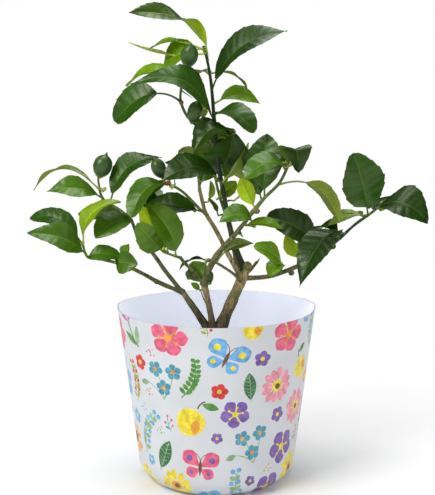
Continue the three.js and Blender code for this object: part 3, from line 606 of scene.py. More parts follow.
def tube(piece, centres, radii, finish, sides=12, relief=even):
    """Round limb through centres, with a cap at each end. relief(along, angle) scales its radius."""
    centres = np.asarray(centres, float)
    tangents = unit(np.gradient(centres, axis=0))
    normal = unit(np.cross(tangents[0], [0.3, 0.9, 0.2]))
    rings = []
    for centre, tangent, radius, distance in zip(centres, tangents, radii, lengths_of(centres)):
        normal = unit(normal - tangent * tangent.dot(normal))
        rings.append((centre, normal, np.cross(tangent, normal), radius, distance))
    ends = [centres[0] - tangents[0] * radii[0] * 0.3, centres[-1] + tangents[-1] * radii[-1] * 0.5]
    closed_rings(piece, rings, ends, finish, sides, relief)


def ball(piece, centre, axis, profile, finish, sides=20, relief=even):
    """Body turned about axis. profile is [(distance from the middle, radius)] from foot to tip."""
    axis = unit(axis)
    normal = unit(np.cross(axis, [0.31, 0.87, 0.21]))
    across = np.cross(axis, normal)
    rings = [(centre + axis * place, normal, across, radius, place) for place, radius in profile[1:-1]]
    ends = [centre + axis * profile[0][0], centre + axis * profile[-1][0]]
    closed_rings(piece, rings, ends, finish, sides, relief)


def scaled(size, profile):
    return [(size * distance, size * radius) for distance, radius in profile]


# Grain of the leaf mesh: rows in each interval between two side veins
VEIN_ROWS = [0, 0.1, 0.4, 0.74]
VEIN_HEIGHTS = [-1, -1, 0.55, 0.7]
VEIN_MARGIN = [1.035, 0.972, 0.982, 1.005]
VEIN_DEPTH = 0.24
VEIN_SPACING = 6.2
VEIN_SLANT = 0.11
ACROSS = [0, 0.032, 0.28, 0.54, 0.8, 1]
BLADE_HALF_THICKNESS = 0.16
RIB_DEPTH = 0.55
GROOVE_DEPTH = 0.22


def fine_outline(station, tip):
    """Half width of the fine blade: the plain one's, drawn out at its foot and by tip at its tip."""
    power = 0.75 + np.where(station < 0.5, 0.2, tip) * (2 * station - 1) ** 2
    return np.sin(np.pi * station**0.9).clip(1e-4) ** power


def grow_leaf(piece, base, shape, chance):
    """Closed thin blade with its midrib and side veins, on a round stalk."""
    length = float(np.linalg.norm(shape.reach)) * (1 - shape.petiole)
    veins = int(min(10, max(4, round(length / VEIN_SPACING))))
    station = np.array([(vein + row) / veins for vein in range(veins) for row in VEIN_ROWS] + [1])[:, None]
    height = np.array(VEIN_HEIGHTS * veins + [0])[:, None]
    margin = np.array(VEIN_MARGIN * veins + [1])[:, None]
    across = np.array([-w for w in ACROSS[:0:-1]] + ACROSS)
    wide = np.abs(across)[None, :]
    slanted = station + VEIN_SLANT * wide**1.2 * np.sin(np.pi * station)
    half = shape.width / 2 * fine_outline(slanted, shape.tip)
    half = np.maximum(half, np.where(station < 0.5, 0.55, 0.14)) * (1 + (margin - 1) * wide**4)
    centre, side, up = leaf_frames(base, shape, shape.along(slanted))
    wave = shape.width * (0.028 + 0.03 * chance.random())
    phase = CIRCLE * chance.random()
    turns = 1.1 + 0.8 * chance.random()
    sway = np.sin(CIRCLE * turns * slanted + phase + 1.9 * np.sign(across))
    lift = LEAF_FOLD * half * (1.2 * wide - 0.2 * wide**2) + wave * wide**2 * sway
    quilt = height * VEIN_DEPTH * np.sin(np.pi * station) ** 0.5
    quilt = quilt * np.clip((wide - 0.05) * 6, 0, 1) * np.clip((1 - wide) * 5, 0, 1)
    surface = centre + side * (across * half)[..., None] + up * (lift + quilt)[..., None]
    thin = BLADE_HALF_THICKNESS * np.clip((1 - wide) * 4, 0, 1)
    near_rib = np.clip(1 - wide / 0.1, 0, 1)
    upper = surface + up * (thin - GROOVE_DEPTH * (1 - 0.6 * station) * near_rib)[..., None]
    lower = surface - up * (thin + RIB_DEPTH * (1 - 0.8 * station) * near_rib)[..., None]
    rows, columns = half.shape
    top = np.arange(rows * columns).reshape(rows, columns)
    bottom = top.copy()
    bottom[1:-1, 1:-1] = top.size + np.arange((rows - 2) * (columns - 2)).reshape(rows - 2, -1)
    faces, finishes = [], []
    for row in range(rows - 1):
        vein = "_vein" if row % len(VEIN_ROWS) == 0 and row > 0 else ""
        for column in range(columns - 1):
            on_rib = column in (columns // 2 - 1, columns // 2) and row < rows - 3
            for grid, skin in ((top, vein), (bottom, "_under")):
                a, b = grid[row, column : column + 2]
                d, c = grid[row + 1, column : column + 2]
                faces.append([a, d, c, b] if grid is top else [a, b, c, d])
                finishes.append(f"leaf_{shape.tint}{'_rib' if on_rib else skin}")
    piece.add(np.concatenate([upper.reshape(-1, 3), lower[1:-1, 1:-1].reshape(-1, 3)]), faces, finishes)
    shares = np.linspace(0, 1, 8)
    centre, _, up = leaf_frames(base, shape, np.linspace(-0.01, shape.petiole + 0.05, 8))
    radii = np.interp(shares, [0, 0.25, 0.8, 1], [1.0, 0.72, 0.62, 0.4])
    tube(piece, centre - up * 0.35 * shares[:, None], radii, f"leaf_{shape.tint}_rib", 8)


FINISHES = {}


def linear(colour, factor=1):
    """Colour of a paint chip, 0 to 255, as light. factor darkens or lightens it."""
    shares = [min(255, value * factor) / 255 for value in colour]
    lights = [s / 12.92 if s <= 0.04045 else ((s + 0.055) / 1.055) ** 2.4 for s in shares]
    return (*lights, 1)


class Value:
    """A number that varies over a surface: arithmetic on it adds Math nodes."""

    def __init__(self, finish, socket):
        self.finish = finish
        self.socket = socket

    def _math(self, operation, first, second):
        return self.finish.node("ShaderNodeMath", {"operation": operation}, {0: first, 1: second})

    def __add__(self, other):
        return self._math("ADD", self, other)

    __radd__ = __add__

    def __sub__(self, other):
        return self._math("SUBTRACT", self, other)

    def __rsub__(self, other):
        return self._math("SUBTRACT", other, self)

    def __mul__(self, other):
        return self._math("MULTIPLY", self, other)

    __rmul__ = __mul__


class Finish:
    """A material of the object, kept under its name. Every node comes from node()."""

    def __init__(self, name, roughness, specular):
        self.material = FINISHES[name] = bpy.data.materials.new(name)
        self.material.use_nodes = True
        self.tree = self.material.node_tree
        self.shader = self.tree.nodes["Principled BSDF"]
        self.place = self.node("ShaderNodeTexCoord", {}, {}, "Object")
        self.wear("Roughness", roughness)
        self.wear("Specular IOR Level", specular)

    def node(self, kind, settings, sockets, output=0):
        made = self.tree.nodes.new(kind)
        for setting, value in settings.items():
            setattr(made, setting, value)
        for socket, value in sockets.items():
            self.feed(made.inputs[socket], value)
        return Value(self, made.outputs[output])

    def feed(self, socket, value):
        if isinstance(value, Value):
            self.tree.links.new(value.socket, socket)
        else:
            socket.default_value = value

    def wear(self, socket, value):
        self.feed(self.shader.inputs[socket], value)

    def cloud(self, scale, detail=2.0, roughness=0.5, place=None):
        """Soft noise from 0 to 1. scale is in spots per metre."""
        sockets = {"Vector": place or self.place, "Scale": scale, "Detail": detail, "Roughness": roughness}
        return self.node("ShaderNodeTexNoise", {}, sockets)

    def steps(self, value, low, high):
        """0 below low and 1 above high."""
        sockets = {"Value": value, "From Min": low, "From Max": high}
        return self.node("ShaderNodeMapRange", {"clamp": True}, sockets)

    def blend(self, share, first, second):
        """From the first colour to the second."""
        return self.node("ShaderNodeMix", {"data_type": "RGBA"}, {0: share, 6: first, 7: second}, 2)

    def relief(self, height, depth):
        """Fine unevenness, depth in metres."""
        sockets = {"Height": height, "Distance": depth, "Strength": 1.0}
        self.wear("Normal", self.node("ShaderNodeBump", {}, sockets))


def leaf_finish(name, colour, roughness, specular, spread=0.14):
    finish = Finish(name, roughness, specular)
    finish.wear("Specular Tint", (0.88, 1, 0.7, 1))
    tone = finish.steps(finish.cloud(55, 3.0), 0.3, 0.7)
    finish.wear("Base Color", finish.blend(tone, linear(colour, 1 - spread), linear(colour, 1 + spread)))
    finish.wear("Roughness", finish.cloud(180) * 0.16 + (roughness - 0.08))
    finish.relief(finish.cloud(900, 3.0), 0.00012)


# Heights in metres over which the painted shade near the soil, where the pot shades the bark, fades out
# going up
POT_SHADE_HEIGHTS = (0.127, 0.148)


def bark_finish(name, dark, light, green, green_share):
    """Young bark: streaked along the limb, darker in its cracks, and darker near the soil: painted shade
    where the pot shades it.
    """
    finish = Finish(name, 0.7, 0.3)
    grain = finish.node("ShaderNodeMapping", {}, {"Vector": finish.place, "Scale": (1, 1, 0.22)})
    streaks = finish.cloud(620, 5.0, 0.62, grain)
    colour = finish.blend(finish.steps(streaks, 0.36, 0.66), linear(dark), linear(light))
    moss = finish.steps(finish.cloud(90, 3.0), 0.62 - green_share, 0.78 - green_share)
    colour = finish.blend(moss, colour, linear(green))
    blotch = finish.steps(finish.cloud(140, 4.0, 0.6), 0.5, 0.66)
    colour = finish.blend(blotch * 0.4, colour, linear(dark, 0.62))
    corks = finish.steps(finish.cloud(1100, 1.0), 0.68, 0.74)
    colour = finish.blend(corks * 0.6, colour, linear(light, 1.25))
    height = finish.node("ShaderNodeSeparateXYZ", {}, {0: finish.place}, 2)
    # Painted shade: the bark darkens towards the soil, up to about the pot's rim, where the pot shades it.
    pot_shade = 1 - finish.steps(height + finish.cloud(160) * 0.012, *POT_SHADE_HEIGHTS)
    finish.wear("Base Color", finish.blend(pot_shade * 0.8, colour, linear(dark, 0.5)))
    finish.wear("Roughness", 0.8 - streaks * 0.25)
    finish.relief(streaks, 0.0007)


def ink_finish(name, colour):
    """Watercolour print: it pools darker in places and runs thin in others."""
    finish = Finish(name, 0.42, 0.35)
    pool = finish.steps(finish.cloud(210, 3.0, 0.6), 0.34, 0.68)
    fine = finish.steps(finish.cloud(900), 0.3, 0.8)
    thin = linear([value + (255 - value) * 0.14 for value in colour])
    wash = finish.blend(pool, linear(colour, 0.8), thin)
    finish.wear("Base Color", finish.blend(fine * 0.3, wash, thin))


def sleeve_finish(name, roughness, specular, scale, dark, light):
    """Satin board, a little uneven in tone."""
    finish = Finish(name, roughness, specular)
    haze = finish.steps(finish.cloud(scale), 0.3, 0.7)
    finish.wear("Base Color", finish.blend(haze, linear(dark), linear(light)))
    return finish


BARKS = {
    "bark_brown": ((92, 72, 42), (198, 172, 122), (120, 110, 62), 0.02),
    "bark_tan": ((92, 80, 46), (188, 166, 116), (112, 112, 60), 0.1),
    "bark_olive": ((72, 62, 34), (158, 142, 92), (92, 96, 48), 0.1),
    "bark_green": ((56, 56, 30), (126, 124, 78), (70, 82, 36), 0.14),
    "bark_dark": ((30, 40, 24), (72, 86, 54), (40, 58, 28), 0.2),
    "twig": ((70, 80, 34), (132, 138, 74), (84, 106, 42), 0.22),
}
SKINS = {
    "fruit": ((48, 74, 34), 0.36, 0.55, 0.2),
    "fruit_tip": ((96, 84, 40), 0.6, 0.2),
    "calyx": ((104, 120, 48), 0.6, 0.2),
    "bud_green": ((150, 166, 84), 0.55, 0.25),
    "bud_brown": ((128, 92, 44), 0.6, 0.2),
    "soil_lump": ((74, 52, 34), 0.95, 0.1, 0.3),
    "soil_grit": ((196, 188, 172), 0.9, 0.1, 0.1),
}
INKS = {
    "sun": (234, 212, 34),
    "ochre": (228, 148, 34),
    "olive": (150, 156, 44),
    "grass": (66, 132, 34),
    "sage": (132, 170, 122),
    "pine": (36, 100, 48),
    "sky": (94, 164, 218),
    "teal": (62, 144, 166),
    "red": (204, 34, 36),
    "pink": (226, 84, 118),
    "rose": (238, 142, 160),
    "purple": (112, 80, 160),
    "brown": (98, 58, 34),
}


def make_finishes():
    for tint, (upper, under, rib) in TINTS.items():
        leaf_finish(f"leaf_{tint}", upper, 0.36, 0.5)
        leaf_finish(f"leaf_{tint}_vein", [0.9 * a + 0.1 * b for a, b in zip(upper, rib)], 0.46, 0.3)
        leaf_finish(f"leaf_{tint}_under", under, 0.6, 0.2, 0.08)
        leaf_finish(f"leaf_{tint}_rib", rib, 0.5, 0.25, 0.06)
    for name, bark in BARKS.items():
        bark_finish(name, *bark)
    for name, skin in SKINS.items():
        leaf_finish(name, *skin)
    for ink, colour in INKS.items():
        ink_finish(f"ink_{ink}", colour)
    white = sleeve_finish("sleeve", 0.4, 0.35, 38, (190, 194, 197), (199, 202, 205))
    white.wear("Roughness", white.cloud(150) * 0.12 + 0.36)
    white.relief(white.cloud(60), 0.0003)
    lining = sleeve_finish("lining", 0.5, 0.3, 20, (226, 230, 244), (236, 238, 248))
    # The lining glows: painted light that brightens the inside of the pot, though it is no lamp.
    lining.wear("Emission Color", (0.8, 0.85, 1, 1))
    lining.wear("Emission Strength", 0.43)
    soil = Finish("soil", 0.95, 0.15)
    crumbs = soil.cloud(420, 6.0, 0.7)
    dry = soil.steps(crumbs, 0.35, 0.65)
    soil.wear("Base Color", soil.blend(dry, linear((34, 24, 17)), linear((86, 64, 44))))
    soil.relief(crumbs, 0.0012)


make_finishes()


# Outlines of the print, in millimetres round the middle of their motif, each with its ink.
# Angles are in degrees.
def polar(reach, angle, x=0, y=0):
    turn = math.radians(angle)
    return x + reach * math.cos(turn), y + reach * math.sin(turn)


def turned(points, x, y, angle):
    cos, sin = polar(1, angle)
    return [(x + a * cos - b * sin, y + a * sin + b * cos) for a, b in points]


def oval(ink, x, y, rx, ry=None, angle=0, count=10):
    ry = ry or rx
    around = [CIRCLE * step / count for step in range(count)]
    return ink, turned([(rx * math.cos(a), ry * math.sin(a)) for a in around], x, y, angle)


def petal(ink, x, y, angle, length, width, fullness=1.5, count=9):
    """Drop shape that starts at x, y: pointed where fullness is under 1."""
    shares = [step / count for step in range(1, count)]
    side = [(s * length, width / 2 * math.sin(math.pi * s**fullness) ** 0.8) for s in shares]
    points = [(0, 0), *((a, -b) for a, b in side), (length, 0), *side[::-1]]
    return ink, turned(points, x, y, angle)


def stroke(ink, points, width):
    """Band along a line."""
    line = np.array(points, float)
    ahead = unit(np.gradient(line, axis=0))
    beside = np.stack([-ahead[:, 1], ahead[:, 0]], axis=1) * width / 2
    return ink, [tuple(point) for point in np.concatenate([line + beside, (line - beside)[::-1]])]


def curve(x0, y0, x1, y1, sag, count=7):
    """Points on a bow from one end to the other."""
    dx, dy = x1 - x0, y1 - y0
    size = math.hypot(dx, dy)
    points = []
    for step in range(count):
        share = step / (count - 1)
        rise = sag * 4 * share * (1 - share)
        points.append((x0 + dx * share - dy / size * rise, y0 + dy * share + dx / size * rise))
    return points


def daisy(chance, ink, heart="ochre"):
    shapes = []
    count = chance.choice([9, 11, 12])
    for step in range(count):
        angle = 360 * (step + 0.25 * chance.random()) / count
        shapes.append(petal(ink, *polar(2.2, angle), angle, 7.4 * (0.86 + 0.2 * chance.random()), 3.5))
    return [*shapes, oval(heart, 0, 0, 3.1, 3.0, count=18), oval("brown", 0.3, -0.2, 1.5)]


def blossom(chance, ink, heart="sun"):
    angles = [72 * step + math.degrees(0.2 * chance.random()) for step in range(5)]
    shapes = [petal(ink, 0, 0, angle, 9.2, 7.4, 1.7, 11) for angle in angles]
    for step in range(5):
        x, y = polar(4.4, 72 * step + 36)
        shapes += [stroke(heart, [(0, 0), (x / 2, y / 2), (x, y)], 0.55), oval(heart, x, y, 0.75, count=8)]
    return [*shapes, oval(heart, 0, 0, 1.9, count=12)]


def tulip(chance, ink):
    return [
        stroke("grass", curve(0, 2, 0.6, -12, 1.2 * chance.choice([-1, 1])), 0.9),
        petal("grass", 0.3, -11, 128, 11.5, 3.6, 0.9),
        petal("sage", 0.3, -11, 58, 10, 3.2, 0.9),
        petal(ink, 0, 1, 112, 10, 5.6, 1.1),
        petal(ink, 0, 1, 68, 10, 5.6, 1.1),
        petal("rose", 0, 1, 90, 9, 4.6, 1.0),
    ]


def sprig(chance, ink, berry=None):
    bend = 3.2 * chance.choice([-1, 1])
    stem = curve(-1, -12, 2, 12, bend, 9)
    shapes = [stroke(ink, stem, 0.7)]
    for place, (x, y) in enumerate(stem[1:]):
        length = 5.4 - 0.3 * place
        for hand in (-1, 1):
            angle = 84 - 46 * hand - math.degrees(0.05 * bend)
            if berry and place % 2:
                tip = polar(length * 0.7, angle, x, y)
                shapes += [stroke(ink, [(x, y), tip], 0.45), oval(berry, *tip, 1.35)]
            else:
                shapes.append(petal(ink, x, y, angle, length, 2.6, 1.1))
    return shapes


def berries(chance, ink):
    shapes = []
    for angle, reach in ((58, 12), (84, 15), (112, 13), (138, 10), (34, 9)):
        x, y = polar(reach, angle + 8 * chance.random(), 0, -8)
        shapes.append(stroke("olive", curve(0, -10, x, y, 0.8), 0.55))
        shapes += [oval(ink, x, y, 2.4, count=14), oval("rose", x - 0.7, y + 0.8, 0.7, 0.55, count=8)]
    return [*shapes, petal("pine", 0, -10, 18, 9, 4.2, 1.1), petal("grass", 0, -10, 164, 9, 4.2, 1.1)]


def moth(chance, ink, spot):
    shapes = []
    for hand in (-1, 1):
        upper, lower = 90 - 52 * hand, 90 - 118 * hand
        shapes += [petal(ink, 0, 0.6, upper, 11.5, 8.4, 1.6, 11), petal(ink, 0, -0.4, lower, 8.2, 6.2)]
        shapes += [oval(spot, *polar(7.4, upper), 1.7), oval(spot, *polar(5.4, lower), 1.2)]
        shapes.append(stroke("brown", curve(0, 3.4, 2.6 * hand, 7.6, 0.6 * hand), 0.35))
    return [*shapes, petal("brown", 0, -4.4, 90, 9, 1.8, 1.2)]


def pear(chance, ink, blush):
    body = []
    for step in range(28):
        cos, sin = polar(1, 360 * step / 28)
        radius = 7.4 - 2.5 * max(0, sin) ** 1.5
        body.append((radius * cos * 0.95, radius * 1.16 * sin - 1))
    return [
        stroke("brown", curve(0, 6, 1.4, 11, 0.7), 0.7),
        petal("grass", 0.8, 9, 12, 8, 3.8, 1.0),
        (ink, body),
        oval(blush, 3.2, -3, 2.2, 3.6, 17.19, 18),
    ]


def plume(chance, ink):
    """Large leaf with pale veins."""
    shapes = [petal(ink, 0, -11, 86, 22, 9.6, 1.0, 12)]
    for step in range(1, 7):
        y = -11 + 2.9 * step
        for hand in (-1, 1):
            width = hand * 4.4 * math.sin(math.pi * step / 7.4)
            shapes.append(stroke("sage", curve(0.2, y, width, y + 2.2, 0.2 * hand, 4), 0.4))
    return [*shapes, stroke("sage", curve(0, -13, 1.2, 9, -0.3), 0.6)]


def dots(chance, ink):
    shapes = []
    for step in range(6):
        x, y = polar(2.4 * math.sqrt(step), math.degrees(2.4 * step))
        shapes.append(oval(ink, x, y, 0.7 + 0.5 * chance.random(), count=9))
    return shapes


def posy(chance, ink):
    """Cluster of small five-petal flowers, with a leaf beside them."""
    ends = [(-5, 3), (4.4, 4.6), (0.6, -5), (-8, -5.4)]
    shapes = [stroke("sage", curve(x, y, 1.5, -11, 1), 0.45) for x, y in ends]
    for x, y in ends[:3]:
        shapes += [petal(ink, x, y, 72 * step + math.degrees(x), 4.2, 3.3, 1.6, 7) for step in range(5)]
        shapes.append(oval("ochre", x, y, 1.1, count=9))
    return [*shapes, petal("sage", -8, -5.4, 200, 6, 3, 1.0)]


def twig(chance, ink, berry):
    """Short twig with a berry at each end."""
    side = chance.choice([-1, 1])
    shapes = [stroke(ink, curve(0, -6, 0.6 * side, 6, 0.8 * side), 0.6)]
    for x, y in ((-3.2, 1.4), (3.4, 3.0), (0.6 * side, 6.4), (3.0, -1.6)):
        shapes += [stroke(ink, [(0, y - 3.2), (x, y)], 0.45), oval(berry, x, y, 1.1)]
    return [*shapes, petal(ink, 0, -4, 150, 4.6, 2.2, 1.1, 7)]


def bloom(chance, ink):
    """One small open flower."""
    return [petal(ink, 0, 0, 72 * step, 4.8, 4.0, 1.6, 8) for step in range(5)] + [oval("sun", 0, 0, 1.3)]


def leaf_pair(chance, ink):
    """Two broad leaves on one stalk."""
    shapes = [stroke("sage", curve(0, -6, 0, 0, 0.8), 0.5)]
    for angle in (138, 42):
        shapes.append(petal(ink, 0, -1, angle, 8.4, 4.6, 1.1))
        shapes.append(stroke("sage", [(0, -1), polar(6.6, angle, 0, -1)], 0.4))
    return shapes


LARGE_MOTIFS = [
    (daisy, "sun"), (blossom, "sky"), (plume, "pine"), (tulip, "red"), (posy, "teal"), (moth, "sky", "sun"),
    (pear, "sun", "ochre"), (blossom, "purple", "sun"), (sprig, "grass"), (berries, "red"),
    (daisy, "rose", "sun"), (sprig, "sage", "sky"), (posy, "purple"), (pear, "olive", "sun"),
    (moth, "pink", "purple"), (blossom, "pink", "ochre"), (plume, "grass"), (daisy, "ochre", "brown"),
    (tulip, "purple"), (berries, "sky"), (sprig, "olive", "red"), (blossom, "teal", "sun"),
]
SMALL_MOTIFS = [
    (twig, "sage", "sky"), (bloom, "purple"), (twig, "olive", "red"), (bloom, "sky"), (leaf_pair, "grass"),
    (bloom, "red"), (twig, "grass", "sun"), (leaf_pair, "pine"), (bloom, "ochre"), (twig, "teal", "pink"),
]
SPECKS = [(dots, ink) for ink in ("sky", "olive", "pink", "grass", "purple", "ochre", "red", "teal")]

SHEET_RADIUS = 67
SHEET_LENGTH = CIRCLE * SHEET_RADIUS
PRINT_SEED = 12
PRINT_TURN = 60
PRINT_SHIFT = 158
SAME_APART = 22
OVERHANG = 40
CLEAR_CELLS = 2
# Motifs, their scale and how many places are tried
PRINT_ROUNDS = [
    (LARGE_MOTIFS, 1.5, 900),
    (LARGE_MOTIFS, 1.2, 2500),
    (LARGE_MOTIFS, 0.95, 2500),
    (SMALL_MOTIFS, 1.3, 2500),
    (SMALL_MOTIFS, 0.95, 2500),
    (SPECKS, 0.7, 800),
]
SEAM_AZIMUTH = math.radians(-90 - 54)
SEAM_STEP = 0.45
SEAM_WIDTH = 0.5
SEAM_FADE = 70
FOOT_STEPS = 12
ON_EDGE = 1e-4


def wall_radius(height):
    return BASE_RADIUS + (RIM_RADIUS - BASE_RADIUS) * height / POT_HEIGHT


def sleeve_profile():
    """Radius and height of the sleeve's outside, up from the flat foot."""
    points = []
    for step in range(FOOT_STEPS + 1):
        across, down = polar(FOOT_ROUND, 90 * step / FOOT_STEPS)[::-1]
        points.append((wall_radius(FOOT_ROUND) - FOOT_ROUND + across, FOOT_ROUND - down))
    return np.array(points + [(wall_radius(height), height) for height in (40, 70, 100, POT_HEIGHT)])


PROFILE = sleeve_profile()
PROFILE_LENGTHS = lengths_of(PROFILE)
FOOT_LENGTH = PROFILE_LENGTHS[FOOT_STEPS]
SHEET_HEIGHT = PROFILE_LENGTHS[-1]


def clipped(outline):
    """The part of an outline that lies on the sheet."""
    for axis, sign, limit in ((0, 1, 0), (0, -1, -SHEET_LENGTH), (1, 1, 0), (1, -1, -SHEET_HEIGHT)):
        kept = []
        for a, b in zip(outline, outline[1:] + outline[:1]):
            inside_a, inside_b = sign * a[axis] >= limit, sign * b[axis] >= limit
            if inside_a:
                kept.append(a)
            if inside_a != inside_b:
                share = (limit * sign - a[axis]) / (b[axis] - a[axis])
                kept.append((a[0] + (b[0] - a[0]) * share, a[1] + (b[1] - a[1]) * share))
        outline = kept
        if len(outline) < 3:
            return []
    return outline


def body_of(shapes):
    """Points that cover a motif's inked parts."""
    points = []
    for _, outline in shapes:
        middle = np.mean(outline, axis=0)
        points += [middle + (np.array(outline) - middle) * share for share in (1, 0.7, 0.35)]
    return np.concatenate(points)


def print_outlines():
    """Every inked outline. Motifs land at random where they clear the others, large ones first."""
    chance = random.Random(PRINT_SEED)
    width = round(SHEET_LENGTH)
    inked = np.zeros((width, round(SHEET_HEIGHT) + 2 * OVERHANG), bool)
    landed, printed = [], []

    def cells_of(points):
        cells = np.unique(np.floor(points).astype(int), axis=0)
        return cells[:, 0] % width, np.clip(cells[:, 1] + OVERHANG, 0, inked.shape[1] - 1)

    for motifs, scale, tries in PRINT_ROUNDS:
        motifs = [(maker, maker(chance, *inks)) for maker, *inks in motifs]
        bodies = [body_of(shapes) * scale for _, shapes in motifs]
        for _ in range(tries):
            kind = chance.randrange(len(motifs))
            maker, shapes = motifs[kind]
            x, y = chance.random() * SHEET_LENGTH, chance.random() * SHEET_HEIGHT
            cos, sin = polar(1, PRINT_TURN * (chance.random() - 0.5))
            spin = np.array([[cos, sin], [-sin, cos]])
            body = bodies[kind] @ spin + (x, y)
            same = [spot for other, spot in landed if other is maker]
            near = any(math.dist((x, y), spot) < SAME_APART * scale for spot in same)
            if near or inked[cells_of(body)].any():
                continue
            landed.append((maker, (x, y)))
            for aside in range(-CLEAR_CELLS, CLEAR_CELLS + 1):
                for above in range(-CLEAR_CELLS, CLEAR_CELLS + 1):
                    inked[cells_of(body + (aside, above))] = True
            for ink, outline in shapes:
                places = np.array(outline) * scale @ spin + (x + PRINT_SHIFT, y)
                for lap in (-SHEET_LENGTH, 0, SHEET_LENGTH):
                    shown = clipped([(a + lap, b) for a, b in places.tolist()])
                    if shown:
                        printed.append((f"ink_{ink}", shown))
    return printed


def edges_of(places):
    """Which places lie on the sheet's two ends, its foot and its rim."""
    x, y = places.T
    return x < ON_EDGE, x > SHEET_LENGTH - ON_EDGE, y < ON_EDGE, y > SHEET_HEIGHT - ON_EDGE


def print_sheet():
    """Places and triangles of the flat sheet, with each triangle's finish."""
    columns = [0, 0.2, 0.35, SEAM_WIDTH, 1.2, *np.linspace(0, SHEET_LENGTH, 145)[1:]]
    rows = [*np.linspace(0, FOOT_LENGTH, 9), *np.linspace(FOOT_LENGTH, SHEET_HEIGHT, 26)[1:]]
    outlines = print_outlines()
    seam_heights = set(rows)
    for _, outline in outlines:
        seam_heights.update(y for x, y in outline if x < 1e-6 or x > SHEET_LENGTH - 1e-6)
    spots = [(x, y) for x in columns[1:-1] for y in rows]
    spots += [(x, y) for x in (0, SHEET_LENGTH) for y in sorted(seam_heights)]
    faces = []
    for _, outline in outlines:
        loop = list(range(len(spots), len(spots) + len(outline)))
        area = sum(a[0] * b[1] - b[0] * a[1] for a, b in zip(outline, outline[1:] + outline[:1]))
        faces.append(loop if area > 0 else loop[::-1])
        spots += outline
    result = delaunay_2d_cdt([Vector(spot) for spot in spots], [], faces, 0, 1e-4, True)
    places = np.array([tuple(place) for place in result[0]])
    edges = edges_of(places)
    triangles, finishes = [], []
    for triangle, origin in zip(result[2], result[5]):
        is_sliver = any(edge[list(triangle)].all() for edge in edges)
        if not is_sliver:
            triangles.append(triangle)
            finishes.append(outlines[max(origin)][0] if origin else "sleeve")
    return places, triangles, finishes


def on_sleeve(sheet, inset=0.0):
    """Places of the sheet wrapped round the pot. Its outer end laps over the seam."""
    x, y = sheet[:, 0], sheet[:, 1]
    angle = SEAM_AZIMUTH + x / SHEET_RADIUS
    lap = np.clip(x / SEAM_WIDTH, 0, 1) * np.clip(1 - x / SEAM_FADE, 0, 1) * SEAM_STEP
    sag = 0.25 * np.sin(3 * angle + 0.6) * np.sin(np.pi * y / SHEET_HEIGHT)
    radius = np.interp(y, PROFILE_LENGTHS, PROFILE[:, 0]) + sag - inset
    radius = radius + (lap - SEAM_STEP) * np.clip(y / 20, 0, 1)
    dip = 1 - RIM_DIP / POT_HEIGHT * np.abs(np.sin(angle)) ** RIM_DIP_POWER
    height = np.interp(y, PROFILE_LENGTHS, PROFILE[:, 1]) * dip
    return np.stack([radius * np.cos(angle), radius * np.sin(angle), height], axis=-1)


def make_sleeve():
    piece = Piece("cover_pot")
    sheet, triangles, finishes = print_sheet()
    seam_start, seam_end, at_foot, at_rim = edges_of(sheet)
    starts = np.flatnonzero(seam_start)
    home = list(range(len(sheet)))
    for i in np.flatnonzero(seam_end):
        home[i] = int(starts[np.argmin(np.abs(sheet[starts, 1] - sheet[i, 1]))])
    piece.add(on_sleeve(sheet), [[home[i] for i in triangle] for triangle in triangles], finishes)

    def edge(on_edge):
        """Places on one edge of the sheet, in their order round the pot."""
        return sorted(np.flatnonzero(on_edge & ~seam_end).tolist(), key=lambda i: sheet[i, 0])

    top, bottom = edge(at_rim), edge(at_foot)
    count, start = len(top), piece.count
    levels = [*np.linspace(SHEET_HEIGHT - 0.5, FOOT_LENGTH, 12), *np.linspace(FOOT_LENGTH, 6, 5)[1:]]
    levels = [SHEET_HEIGHT, *levels]
    lining = on_sleeve(np.array([(sheet[i, 0], level) for level in levels for i in top]), SLEEVE)
    lining[:, 2] = np.maximum(lining[:, 2], SLEEVE)
    piece.add(lining, grid_faces(len(levels), count, closed=True), "lining")
    hub = piece.count
    last = hub - count
    piece.add([[0, 0, SLEEVE], [0, 0, 0]], [], "sleeve")
    for i, vertex in enumerate(top):
        following = (i + 1) % count
        piece.faces.append([vertex, top[following], start + following, start + i])
        piece.faces.append([last + i, last + following, hub])
        piece.finishes += ["sleeve", "lining"]
    piece.faces += [[vertex, hub + 1, bottom[(i + 1) % len(bottom)]] for i, vertex in enumerate(bottom)]
    piece.finishes += ["sleeve"] * len(bottom)
    return piece.build(sharp=35)


